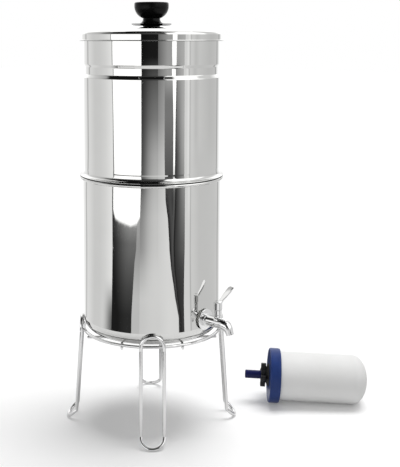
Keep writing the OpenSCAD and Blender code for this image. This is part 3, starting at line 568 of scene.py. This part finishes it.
def spout_line():
    """The spout's centre line as (reach, height over the tap's axis), and its radius at each point."""
    straight = (4.5, 8.0, 12.0, 18.0, 24.0, 29.1, 33.0)
    angles = range(0, BEND_ANGLE + 1, 5)
    line = [(x, 0.0) for x in straight]
    line += [(BEND_START + BEND_R * math.sin(math.radians(a)), -BEND_R + BEND_R * math.cos(math.radians(a)))
             for a in angles]
    ca, sa = math.cos(math.radians(BEND_ANGLE)), math.sin(math.radians(BEND_ANGLE))
    end = line[-1]
    line += [(end[0] + ca * s, end[1] - sa * s) for s in (1.7, 3.4, TIP_LEN)]
    # full round the elbow, then narrowing to the outlet
    swell, narrowing, full_angle, narrow_angle = 0.3, 3.1, 30, 18
    radii = [BODY_R + swell * min(1.0, x / straight[-1]) for x in straight]
    radii += [BODY_R + swell + swell * math.sin(math.pi * min(a, full_angle) / 40)
              - narrowing * ease((a - narrow_angle) / 60.0) for a in angles]
    radii += [radii[-1] - 0.15 * k for k in (1, 2, 3)]
    return line, radii


def shank_profile():
    """The threaded shank, from its end inside the chamber out to the collar."""
    thread_start, thread_end, thread_depth = -21.0, -3.2, 0.5
    profile = [(0, SHANK_END), (SHANK_R - 1.4, SHANK_END), (SHANK_R, thread_start - 0.8)]
    z = thread_start
    while z < thread_end:
        profile += [(SHANK_R, z), (SHANK_R - thread_depth, z + 0.4 * PITCH), (SHANK_R, z + 0.8 * PITCH)]
        z += PITCH
    return profile + [(SHANK_R, -2.0), (SHANK_R, COLLAR_START + 0.1), (0, COLLAR_START + 0.1)]


def ring_edges(bm, ring):
    """The edges round a ring of points."""
    return [bm.edges.get((ring[k], ring[(k + 1) % len(ring)])) for k in range(len(ring))]


def build_tap_body():
    """The body and its spout, one tapering arched tube, with its shank, collar and neck."""
    sides, bore_stop = 56, 8
    bm = bmesh.new()
    line, radii = spout_line()
    outer = [(0, -LOWER_R - x, TAP_Z + z) for x, z in line]
    rings = add_tube(bm, outer, radii, sides, caps=False)
    inner_line = list(reversed(outer))[:-bore_stop]
    inner = add_tube(bm, inner_line, BORE_R, sides, caps=False)
    # join the outlet's rim and close both far ends
    rim_edges = [e for ring in (rings[-1], inner[0]) for e in ring_edges(bm, ring)]
    bmesh.ops.bridge_loops(bm, edges=rim_edges)
    bm.faces.new(rings[0])
    bm.faces.new(inner[-1])
    add_lathe(bm, shank_profile(), sides, ON_TAP)
    # the collar, against the escutcheon
    edge_r = 1.1
    collar = [(0, COLLAR_START), (COLLAR_R - 0.4, COLLAR_START), (COLLAR_R, COLLAR_START + 0.4)]
    collar += [(COLLAR_R, COLLAR_END - edge_r)]
    collar += arc(COLLAR_R - edge_r, COLLAR_END - edge_r, edge_r, 0, 90, 6) + [(0, COLLAR_END)]
    add_lathe(bm, collar, sides, ON_TAP)
    # the neck, with a hollow curve at its root
    neck = [(0, 0.0), (8.4, 0.0), (8.4, 6.6)] + arc(9.4, 10.4, 3.4, 250, 180, 10)
    neck += [(6.0, 13.3), (5.8, 13.5), (0, 13.5)]
    add_lathe(bm, neck, sides, ON_LEVER)
    piece("tap_body_casting", bm, CHROME, "lower", "tap_chrome", ("tap_body",), sharp=38)


def build_escutcheon():
    """The disc between the wall and the tap's collar."""
    hole_r, edge_r = 8.2, 1.2
    loop = [(hole_r, 2.0), (17.0, 2.0)] + arc(16.6, 3.2, edge_r, -70, 80, 12)
    loop += [(15.0, 4.42), (12.6, COLLAR_START), (hole_r, COLLAR_START)]
    turned("escutcheon_disc", loop, CHROME, "lower", 96, ON_TAP, slot="tap_chrome",
           nodes=("tap_escutcheon",))


def build_gland():
    """The round nut over the tap's neck, under the lever's hub."""
    hole_r, nut_r, base, top, edge_r = 2.9, 6.0, 13.6, 21.8, 0.7
    loop = [(hole_r, base), (nut_r - 0.4, base), (nut_r, base + 0.4), (nut_r, 20.9)]
    loop += arc(nut_r - edge_r, top - edge_r, edge_r, 0, 90, 6) + [(hole_r, top)]
    turned("gland_bonnet", loop, CHROME, "lower", 64, ON_LEVER, slot="tap_chrome",
           nodes=("gland_nut",))


def blade_half_sizes(s, length):
    """Half the width and half the thickness of the lever's blade, s along it: a paddle with a round tip."""
    full, root, tip_r = 6.0, 3.4, 6.0
    tail = length - s
    half_w = root + (full - root) * min(1.0, (s - 3.0) / (length - 14.0)) ** 0.8
    if tail < tip_r:
        half_w = min(half_w, math.sqrt(max(0.0, tip_r ** 2 - (tip_r - tail) ** 2)))
    return max(half_w, 0.35), (1.65 - 0.55 * s / length) * min(1.0, 0.35 + tail / 3.0)


def build_lever():
    """The hub, and the blade that rises from its top."""
    bm = bmesh.new()
    low, high, hub_r, hub_edge_r = 22.3, 36.0, 7.0, 1.6
    hub = [(0, low), (hub_r - 0.5, low), (hub_r, low + 0.5), (hub_r, high - hub_edge_r)]
    hub += arc(hub_r - hub_edge_r, high - hub_edge_r, hub_edge_r, 0, 82, 8)
    hub += [(3.0, high - 0.02), (0, high)]
    add_lathe(bm, dense(hub, 6.0), 64, ON_LEVER)
    rise, reach, steps, sides = math.radians(31), 39.0, 26, 24
    length, start = reach / math.cos(rise), 3.0
    root_z = high - 1.5 / math.cos(rise) - hub_r * math.tan(rise)
    rings = []
    for i in range(steps + 1):
        # the rings stand closer together towards the tip
        s = start + (length - start) * (1 - (1 - i / steps) ** 1.6)
        half_w, half_t = blade_half_sizes(s, length)
        ring = []
        for k in range(sides):
            a = 2 * math.pi * k / sides
            c, sn = math.cos(a), math.sin(a)
            y = half_w * math.copysign(abs(c) ** 0.55, c)
            n = half_t * math.copysign(abs(sn) ** 0.8, sn)
            x, z = s * math.cos(rise) - n * math.sin(rise), s * math.sin(rise) + n * math.cos(rise)
            ring.append(bm.verts.new(ON_LEVER @ Vector((x, y, root_z + z))))
        rings.append(ring)
    join_rings(bm, rings)
    bm.faces.new(rings[0])
    bm.faces.new(rings[-1])
    piece("lever_handle", bm, CHROME, "lever", "tap_chrome", ("tap_lever",), sharp=40)


build_tap_body()
build_escutcheon()
build_gland()
build_lever()


# ------------------------------------------------------------------ cartridges

CAP_D, CAP_H, FLOOR_T, STEM_D, STEM_LEN = 98.52, 19.0, 4.5, 15.0, 42.7
SHELL_D, SHELL_LEN, SHELL_DOME, SHELL_T = 88.02, 152.0, 26.0, 8.0
SEAL_T, NUT_H, NUT_SPAN, NUT_HUB_D, NUT_WING_W = 5.5, 8.8, 43.5, 26.0, 8.0
HOLE_R, STEM_HOLE_R = 59.94, 7.7        # circle of the holes in the chamber's floor; bore of washer and nut
LYING_X, LYING_Y, LYING_TURN = 190.5, -117.5, -51.0
# a cartridge on the floor rests on the edge of its cap and on its shell
LIE_TILT = math.degrees(math.atan((CAP_D - SHELL_D) / 2 / (SHELL_LEN - CAP_H)))
LIE_Z = CAP_D / 2 * math.cos(math.radians(LIE_TILT)) + CAP_H * math.sin(math.radians(LIE_TILT))
LYING = (Matrix.Translation((LYING_X, LYING_Y, LIE_Z)) @ Matrix.Rotation(math.radians(LYING_TURN), 4, "Z")
         @ Matrix.Rotation(math.radians(90 + LIE_TILT), 4, "Y"))


def standing(angle):
    """The place of a cartridge over the hole at that azimuth of the chamber's floor."""
    a = math.radians(angle)
    place = Matrix.Translation((HOLE_R * math.cos(a), HOLE_R * math.sin(a), UPPER_BASE_Z + SHEET + SEAL_T))
    return place @ Matrix.Rotation(a, 4, "Z")


def build_cap(which, body, place):
    """The cap with its hollow for the shell, and its bored stem in the cap's blue, darkened as painted shade.
    """
    bore_r, stem_r, root_r, corner_r, lip_r, step = 4.0, STEM_D / 2, 0.6, 2.6, 1.2, 0.5
    loop = [(bore_r, FLOOR_T), (bore_r, -STEM_LEN)]
    loop += [(stem_r - 0.9, -STEM_LEN), (stem_r, -STEM_LEN + 0.9), (stem_r, -root_r)]
    loop += arc(stem_r + root_r, -root_r, root_r, 180, 90, 4)
    loop += arc(CAP_D / 2 - corner_r, corner_r, corner_r, -90, 0, 10)
    loop += [(CAP_D / 2, 15.8), (CAP_D / 2 - step, 16.4)]
    loop += arc(CAP_D / 2 - (step + lip_r), CAP_H - lip_r, lip_r, 0, 90, 6)
    loop += [(SHELL_D / 2 + 0.2, CAP_H), (SHELL_D / 2 + 0.2, FLOOR_T)]
    # the stem, below the cap's floor, gets the darker blue: painted shade
    turned("cap_moulding_" + which, dense(clean(loop), 12.0), BLUE, body, 128, place,
           slot="blue_plastic", nodes=("cartridge_cap_" + which,), sharp=40, materials=(BLUE_PAINTED_SHADE,),
           dark=lambda r, z: z < -0.4)


def build_shell(which, body, place):
    """The ceramic shell, a tube closed by a dome."""
    r, inner, inner_dome = SHELL_D / 2, SHELL_D / 2 - SHELL_T, SHELL_DOME - SHELL_T
    loop = [(inner, FLOOR_T), (r, FLOOR_T)]
    loop += [(r * math.cos(math.radians(a)), SHELL_LEN + SHELL_DOME * math.sin(math.radians(a)))
             for a in range(0, 91, 4)]
    loop += [(0, SHELL_LEN + SHELL_DOME)]
    loop += [(inner * math.cos(math.radians(a)), SHELL_LEN + inner_dome * math.sin(math.radians(a)))
             for a in range(90, -1, -6)]
    turned("ceramic_dome_" + which, dense(clean(loop)), CERAMIC, body, 128, place, slot="ceramic",
           nodes=("ceramic_shell_" + which,), sharp=50)


def build_seal(which, body, place):
    """A conical washer with a ribbed edge."""
    teeth, rib, points = 30, 0.55, 180
    levels = [(12.8, -SEAL_T), (13.6, -SEAL_T + 0.1), (15.4, -SEAL_T + 1.2),
              (20.8, -0.9), (21.4, -0.4), (21.2, 0.0)]
    angles = [2 * math.pi * k / points for k in range(points)]
    bm = bmesh.new()

    def ring(z, radius):
        return [bm.verts.new(place @ Vector((radius(a) * math.cos(a), radius(a) * math.sin(a), z)))
                for a in angles]

    rings = [ring(z, lambda a: r + (rib * math.cos(a * teeth) if 13.0 < r < 21.3 else 0.0) - rib)
             for r, z in levels]
    rings += [ring(z, lambda a: STEM_HOLE_R) for z in (0.0, -SEAL_T)]
    join_rings(bm, rings, closed=True)
    piece("washer_ribbed_" + which, bm, RUBBER, body, "black_rubber", ("cap_seal_" + which,), sharp=35)


def nut_outline():
    """A wing and the round of the hub beside it, four times: straight wings with round tips."""
    hub, half_w, tip, tip_r = NUT_HUB_D / 2, NUT_WING_W / 2, NUT_SPAN / 2, 1.6
    root = math.sqrt(hub ** 2 - half_w ** 2)
    wing = [(root - 0.5, -half_w)] + arc(tip - tip_r, -half_w + tip_r, tip_r, -90, -10, 5)
    wing += arc(tip - tip_r, half_w - tip_r, tip_r, 10, 90, 5) + [(root - 0.5, half_w)]
    bow_start = math.degrees(math.asin(half_w / hub)) + 4
    bow = arc(0, 0, hub, bow_start, 90 - bow_start, 8)
    points = []
    for turn in range(4):
        c, s = math.cos(math.pi / 2 * turn), math.sin(math.pi / 2 * turn)
        points += [(x * c - y * s, x * s + y * c) for x, y in wing + bow]
    return points


def build_nut(name, node, body, place, top_z):
    """A nut with four wings, softened round both faces."""
    # heights over the top face, and how far the outline is drawn in there
    levels = ((-NUT_H, 0.7), (-NUT_H + 0.25, 0.2), (-NUT_H + 0.7, 0.0), (-0.7, 0.0), (-0.25, 0.2), (0.0, 0.7))
    bm, outline = bmesh.new(), nut_outline()

    def ring(z, radius):
        points = [(x, y, math.hypot(x, y)) for x, y in outline]
        return [bm.verts.new(place @ Vector((x * radius(r) / r, y * radius(r) / r, top_z + z)))
                for x, y, r in points]

    rings = [ring(z, lambda r: r - inset) for z, inset in levels]
    rings += [ring(z, lambda r: STEM_HOLE_R) for z in (0.0, -NUT_H)]
    join_rings(bm, rings, closed=True)
    piece(name, bm, BLACK, body, "black_plastic", (node,), sharp=34)


for which, body, place in (("left", "upper", standing(150)), ("right", "upper", standing(30)),
                           ("loose", "cartridge", LYING)):
    build_cap(which, body, place)
    build_shell(which, body, place)
    build_seal(which, body, place)
    nut_top = -SEAL_T if which == "loose" else -SEAL_T - SHEET
    build_nut("wing_nut_moulding_" + which, "wing_nut_" + which, body, place, nut_top)
build_nut("plug_nut_moulding", "plug_nut", "upper",
          Matrix.Translation((0, -HOLE_R, UPPER_BASE_Z)), 0.0)


# ------------------------------------------------------------------ studio

def studio(azimuth, radius, z):
    """A place in the studio: azimuth in degrees from the camera's side, + to its right."""
    a, t = math.radians(azimuth), math.radians(-CAMERA_TURN)
    x, y = radius * math.sin(a), -radius * math.cos(a)
    return (x * math.cos(t) + y * math.sin(t), -x * math.sin(t) + y * math.cos(t), z)


def card_material():
    """Light as strong as the mesh's glow, see-through where its veil is 0."""
    m = bpy.data.materials.new("studio_card")
    m.use_nodes = True
    m.cycles.emission_sampling = "NONE"
    t = m.node_tree
    t.nodes.clear()
    out = t.nodes.new("ShaderNodeOutputMaterial")
    glow, veil = t.nodes.new("ShaderNodeAttribute"), t.nodes.new("ShaderNodeAttribute")
    glow.attribute_name, veil.attribute_name = "glow", "veil"
    emit, clear, mix = (t.nodes.new("ShaderNodeEmission"), t.nodes.new("ShaderNodeBsdfTransparent"),
                        t.nodes.new("ShaderNodeMixShader"))
    t.links.new(glow.outputs["Fac"], emit.inputs["Strength"])
    t.links.new(veil.outputs["Fac"], mix.inputs[0])
    t.links.new(clear.outputs[0], mix.inputs[1])
    t.links.new(emit.outputs[0], mix.inputs[2])
    t.links.new(mix.outputs[0], out.inputs["Surface"])
    return m


CARD = card_material()


def card(name, place, glow, veil=None, nu=48, nv=48):
    """A softbox or flag seen only in reflections. place, glow and veil take u and v from 0 to 1."""
    verts, faces, glows, veils = [], [], [], []
    for j in range(nv + 1):
        for i in range(nu + 1):
            u, v = i / nu, j / nv
            verts.append(place(u, v))
            glows.append(glow(u, v))
            veils.append(veil(u, v) if veil else 1.0)
    for j in range(nv):
        for i in range(nu):
            a = j * (nu + 1) + i
            faces.append((a, a + 1, a + nu + 2, a + nu + 1))
    mesh = bpy.data.meshes.new(name)
    mesh.from_pydata(verts, [], faces)
    for key, values in (("glow", glows), ("veil", veils)):
        mesh.attributes.new(key, "FLOAT", "POINT").data.foreach_set("value", values)
    mesh.materials.append(CARD)
    obj = bpy.data.objects.new(name, mesh)
    scene.collection.objects.link(obj)
    obj.visible_camera = obj.visible_diffuse = obj.visible_shadow = False
    obj.visible_transmission = obj.visible_volume_scatter = False


TOP = 2.7          # top of the studio's walls, in metres
CARD_R = 1.52      # radius of the backmost wall cards
SEEN_TOP = 0.72    # highest place on the walls that the upright steel reflects
LAYER_IN, LAYER_UP = 0.006, 0.0004      # what a layer moves a card in from the wall, and up from the floor


def sweep(left, right, low, high, layer=0):
    """Place function for a card that stands on the floor like a photographer's sweep.

    Heights under 0 lie on the floor, that far in from the wall. left and right are azimuths, or
    (height, azimuth) stops. A card with a higher layer stands in front of one with a lower layer.
    """
    def place(u, v):
        z = low + (high - low) * v
        l, r = (between(side, z) if isinstance(side, list) else side for side in (left, right))
        radius = CARD_R - LAYER_IN * layer
        return studio(l + (r - l) * u, radius + min(z, 0.0), max(z, 0.001 + LAYER_UP * layer))
    return place


def panel(name, left, right, low, high, tone, layer=0, nu=24, step=0.01, veil=None):
    """A sweep card; tone and veil take the place across it, from 0 to 1, and the height."""
    card(name, sweep(left, right, low, high, layer), lambda u, v: tone(u, low + (high - low) * v),
         (lambda u, v: veil(u, low + (high - low) * v)) if veil else None, nu, math.ceil((high - low) / step))


def bell(x, width):
    """1 at 0, falling to nothing over about twice the width."""
    return math.exp(-(x / width) ** 2)


FLOOR_END = -0.87                      # where the cards end on the floor, as a height under 0
EDGE = [(0.15, -64.2), (0.25, -63.4), (0.4, -64.2), (0.62, -66.2)]          # left edge of the softbox
EDGE_LEFT = [(z, a - 1.0) for z, a in EDGE]
EDGE_RIGHT = [(z, a + 0.9) for z, a in EDGE]
GAP_LEFT = [(0.08, -18.4), (0.2, -16.6), (0.3, -16.2)]
FOOT_RIGHT = [(-0.7, -31.0), (-0.45, -29.0), (-0.16, -26.7), (0.0, -24.4), (0.08, -22.8)]
WEDGE_LEFT = [(-0.72, 42.5), (-0.56, 37.3), (-0.26, 31.0), (0.02, 28.0), (0.1, 25.6), (0.16, 21.8),
              (0.3, 20.6)]
SIDE_RIGHT = [(-0.6, 51.8), (0.0, 54.2)]
LIGHT_LEFT = [(0.02, 32.0), (0.15, 34.3), (0.3, 35.0), (0.41, 34.9), (0.62, 32.8)]
LIGHT_RIGHT = [(-0.72, 46.0), (-0.56, 41.0), (-0.26, 36.5), (0.02, 35.0), (0.15, 37.2), (0.41, 38.4),
               (0.52, 39.6), (0.62, 40.2)]


def left_tone(u, z):
    azimuth = -180 + 117 * u
    tone = between([(-160, 1.2), (-138, 1.06), (-120, 1.04), (-106, 0.92), (-92, 0.94), (-80, 1.03),
                    (-68, 1.2)], azimuth)
    line = between([(0.15, -136.0), (0.3, -131.0)], z)
    shade = ease((azimuth + 86) / 22) * ease((-z - 0.36) / 0.42)
    return (tone - 0.5 * bell(azimuth - line, 2.4)) * (1 - 0.85 * shade)


panel("left_wall", -180, -63, FLOOR_END, SEEN_TOP, left_tone, 0, nu=180, step=0.04)
panel("left_edge", EDGE_LEFT, EDGE_RIGHT, FLOOR_END, SEEN_TOP,
      lambda u, z: between([(0.0, 0.03), (0.16, 0.12), (0.27, 0.3), (0.4, 0.62)], z), 2, nu=2)


def softbox_veil(u, z):
    azimuth = -64 + 47.5 * u
    bottom = between([(-64, 0.122), (-60, 0.097), (-52, 0.088), (-32, 0.076), (-22, 0.083), (-17, 0.104)],
                     azimuth)
    return ease((z - bottom + 0.006) / 0.012)


panel("softbox", EDGE_RIGHT, GAP_LEFT, 0.06, SEEN_TOP, lambda u, z: 1.9, 4, nu=60, step=0.004,
      veil=softbox_veil)
panel("softbox_foot", EDGE_LEFT, FOOT_RIGHT, FLOOR_END, 0.2,
      lambda u, z: max(0.018, (0.03 + 0.2 * ease(u * 1.25))
                        * between([(-0.7, 0.17), (-0.45, 0.42), (0.02, 1.0), (0.07, 1.7)], z)), 3)


def front_tone(u, z):
    left = between([(-0.56, 0.92), (-0.26, 0.68), (0.1, 0.37), (0.16, 0.26), (0.2, 0.14), (0.3, 0.1),
                    (0.52, 0.04), (0.6, 0.01)], z)
    right = between([(-0.3, 1.0), (0.1, 0.88), (0.3, 0.62), (0.41, 0.31), (0.52, 0.17), (0.6, 0.016)], z)
    return left + (right - left) * ease(u * 1.1) ** 0.7 * min(1.0, 0.6 + u)


panel("front_strip", FOOT_RIGHT, GAP_LEFT, FLOOR_END, 0.2,
      lambda u, z: between([(-0.56, 0.8), (-0.2, 0.58), (0.02, 0.5), (0.08, 0.56)], z), 2, nu=6)
panel("front_gap", GAP_LEFT, 10.3, FLOOR_END, SEEN_TOP, front_tone, 1)


def grey_tone(u, z):
    left = between([(-0.3, 1.0), (0.1, 0.93), (0.3, 0.7), (0.41, 0.42), (0.52, 0.3), (0.6, 0.2)], z)
    right = between([(0.0, 1.08), (0.25, 1.04), (0.41, 0.66), (0.6, 0.52)], z)
    return left + (right - left) * min(1.0, u * 2.2)


panel("grey_panel", 10.3, 45, FLOOR_END, SEEN_TOP, grey_tone, 1)
panel("wedge", WEDGE_LEFT, 46, FLOOR_END, 0.56,
      lambda u, z: between([(-0.7, 0.04), (0.1, 0.05), (0.16, 0.07), (0.3, 0.19), (0.42, 0.29)], z)
      * (1 + between([(-0.2, 1.4), (0.1, 1.2), (0.2, 0.0)], z) * (bell(u - 0.3, 0.14) - 0.5 * bell(u, 0.12))),
      3, veil=lambda u, z: 1 - ease((z - 0.46) / 0.1))
panel("thin_light", LIGHT_LEFT, LIGHT_RIGHT, -0.3, SEEN_TOP,
      lambda u, z: between([(-0.3, 0.08), (0.16, 0.14), (0.19, 0.2), (0.22, 0.8), (0.28, 1.9)], z), 5, nu=4)


def side_tone(u, z):
    left = between([(-0.5, 0.05), (0.16, 0.07), (0.3, 0.1), (0.42, 0.26), (0.52, 0.4), (0.62, 0.56)], z)
    right = between([(-0.5, 0.07), (-0.26, 0.1), (0.02, 0.19), (0.16, 0.38), (0.3, 0.58), (0.42, 0.66),
                     (0.62, 0.66)], z)
    return (left + (right - left) * ease(u * 1.1 - 0.1)) * (1 - 0.8 * bell(u, 0.1) * ease((0.6 - z) / 0.1))


panel("side_panel", LIGHT_RIGHT, SIDE_RIGHT, FLOOR_END, SEEN_TOP, side_tone, 4)
panel("side_strip", SIDE_RIGHT, 66.2, FLOOR_END, SEEN_TOP,
      lambda u, z: 1.02 + 0.16 * bell(u - 0.6, 0.2) * ease(z * 4) - 0.36 * bell(u - 0.86, 0.09),
      4, nu=24, step=0.04)


def right_tone(u, z):
    azimuth = 66.2 + 113.8 * u
    upper = between([(70, 0.94), (76, 0.8), (84, 0.9), (100, 0.82), (110, 0.77), (138, 0.78), (156, 1.15)],
                    azimuth)
    lower = between([(70, 0.94), (82, 0.84), (138, 0.83), (156, 1.1)], azimuth)
    return lower + (upper - lower) * ease((z - 0.2) * 5) - 0.42 * bell(azimuth - 140.5, 2.4)


panel("right_wall", 66.2, 180, FLOOR_END, SEEN_TOP, right_tone, 0, nu=160, step=0.04)

# a dark strip behind the object, which only wires, tap and tight corners reflect
panel("back_strip", 120, 240, 0.2 - CARD_R, 0.6 - CARD_R, lambda u, z: 0.05, 2, step=0.05)

# over the highest place that upright steel reflects: a grey rail, then dark, but light at the right and back
LEFT_WALL = [(-150, 1.75), (-120, 0.9), (-95, 0.6), (-88, 0.008), (-28, 0.008), (-22, 0.05)]
BACK_WALL = [(92, 1.9), (100, 1.0), (125, 0.9), (150, 1.75)]
RAIL_TONES = [(-150, 1.75), (-125, 0.9), (-90, 0.7), (-67, 0.5), (-65, 0.25), (-20, 0.25), (-16, 0.06),
              (22, 0.12), (26, 1.9)] + BACK_WALL
DARK_TONES = LEFT_WALL + [(22, 0.1), (26, 1.9)] + BACK_WALL
HIGH_TONES = LEFT_WALL + [(20, 0.12), (45, 0.16), (52, 1.9)] + BACK_WALL


def upper_tone(u, z):
    azimuth = -180 + 360 * u
    rail, dark, high = (between(tones, azimuth) for tones in (RAIL_TONES, DARK_TONES, HIGH_TONES))
    dark += (high - dark) * ease((z - 2.1) / 0.15)
    return rail + (dark - rail) * ease((z - 1.1) / 0.2)


panel("upper_wall", -180, 180, SEEN_TOP, TOP, upper_tone, 0, nu=240, step=0.05)


def ceiling_tone(u, v):
    azimuth, radius = -180 + 360 * u, 0.02 + (CARD_R - 0.02) * v
    back = ease((abs(azimuth) - 105) / 10) * ease((radius - 0.8) / 0.1)
    right = ease((azimuth - 50) / 5) * ease((95 - azimuth) / 5) * ease((radius - 0.3) / 0.1)
    return 0.01 + 1.75 * max(back, right)


card("ceiling_flag", lambda u, v: studio(-180 + 360 * u, 0.02 + (CARD_R - 0.02) * v, TOP + 0.005),
     ceiling_tone, nu=120, nv=24)


def seen_directly(tree):
    """1 for rays from the camera, by mirror or through glass; 0 for rays that only carry light."""
    path = tree.nodes.new("ShaderNodeLightPath")
    value = path.outputs["Is Camera Ray"]
    for kind in ("Is Glossy Ray", "Is Transmission Ray"):
        most = tree.nodes.new("ShaderNodeMath")
        most.operation = "MAXIMUM"
        tree.links.new(value, most.inputs[0])
        tree.links.new(path.outputs[kind], most.inputs[1])
        value = most.outputs[0]
    return value


def build_floor():
    """A pale floor, a little brighter to look at than the light that it throws on the object."""
    half, seen_tone, thrown_tone, lift_strength = 14.0, 0.89, 0.74, 0.16
    mesh = bpy.data.meshes.new("studio_floor")
    corners = [(-half, -half, 0), (half, -half, 0), (half, half, 0), (-half, half, 0)]
    mesh.from_pydata(corners, [], [(0, 1, 2, 3)])
    material = bpy.data.materials.new("pale_floor")
    material.use_nodes = True
    tree = material.node_tree
    tree.nodes.clear()
    kinds = ("OutputMaterial", "BsdfDiffuse", "Emission", "AddShader", "Math", "Mix")
    out, diffuse, lift, both, scale, mix = (tree.nodes.new("ShaderNode" + kind) for kind in kinds)
    seen = seen_directly(tree)
    mix.data_type = "RGBA"
    mix.inputs[6].default_value = (thrown_tone, thrown_tone, thrown_tone, 1)
    mix.inputs[7].default_value = (seen_tone, seen_tone, seen_tone, 1)
    scale.operation = "MULTIPLY"
    scale.inputs[1].default_value = lift_strength
    for start, end in ((seen, mix.inputs[0]), (seen, scale.inputs[0]),
                       (scale.outputs[0], lift.inputs["Strength"]),
                       (mix.outputs[2], diffuse.inputs["Color"]), (diffuse.outputs[0], both.inputs[0]),
                       (lift.outputs[0], both.inputs[1]), (both.outputs[0], out.inputs["Surface"])):
        tree.links.new(start, end)
    mesh.materials.append(material)
    obj = bpy.data.objects.new("studio_floor", mesh)
    scene.collection.objects.link(obj)


def build_world():
    """A white surround that gives the object only a quarter of its light."""
    seen_strength, light_strength = 1.0, 0.25
    world = bpy.data.worlds.new("studio_world")
    scene.world = world
    world.use_nodes = True
    tree = world.node_tree
    tree.nodes.clear()
    kinds = ("OutputWorld", "MixShader", "Background", "Background")
    out, mix, light, seen = (tree.nodes.new("ShaderNode" + kind) for kind in kinds)
    light.inputs["Color"].default_value = seen.inputs["Color"].default_value = (1, 1, 1, 1)
    light.inputs["Strength"].default_value = light_strength
    seen.inputs["Strength"].default_value = seen_strength
    for start, end in ((seen_directly(tree), mix.inputs[0]), (light.outputs[0], mix.inputs[1]),
                       (seen.outputs[0], mix.inputs[2]), (mix.outputs[0], out.inputs["Surface"])):
        tree.links.new(start, end)


def sun(name, azimuth, elevation, strength, angle):
    """A very broad lamp from the given side, in degrees from the camera's side and over the floor."""
    light = bpy.data.lights.new(name, "SUN")
    light.energy, light.angle = strength, math.radians(angle)
    obj = bpy.data.objects.new(name, light)
    scene.collection.objects.link(obj)
    reach, height = math.cos(math.radians(elevation)), math.sin(math.radians(elevation))
    obj.rotation_mode = "QUATERNION"
    obj.rotation_quaternion = Vector(studio(azimuth, reach, height)).to_track_quat("Z", "Y")
    obj.visible_glossy = False


build_floor()
build_world()
sun("key_lamp", 140, 78, 2.1, 36)
sun("side_lamp", 95, 55, 0.25, 30)
sun("fill_lamp", -25, 25, 0.35, 30)

scene.view_settings.view_transform = "Standard"


# ------------------------------------------------------------------ camera

# the picture's frame, the focal length and the place where the lens's axis meets the picture, in its pixels
PICTURE_W, PICTURE_H = 400.0, 467.0
FOCAL, AXIS_X, AXIS_Y = 925.8, 151.55, 161.57
CAMERA_REACH, CAMERA_Z, CAMERA_PITCH = 1.5688, 0.6678, 7.76      # metres, metres, degrees below level
SENSOR = 36.0


def build_camera():
    """The camera of the photo, its picture shifted off the lens's axis as the photo is cropped."""
    data = bpy.data.cameras.new("camera")
    camera = bpy.data.objects.new("camera", data)
    scene.collection.objects.link(camera)
    camera.location = studio(0, CAMERA_REACH, CAMERA_Z)
    camera.rotation_euler = (math.radians(90 - CAMERA_PITCH), 0, math.radians(CAMERA_TURN))
    data.sensor_width = SENSOR
    data.lens = FOCAL * SENSOR / PICTURE_H
    data.shift_x = (PICTURE_W / 2 - AXIS_X) / PICTURE_H
    data.shift_y = -(PICTURE_H / 2 - AXIS_Y) / PICTURE_H
    data.clip_start, data.clip_end = 0.05, 60.0
    scene.camera = camera


build_camera()
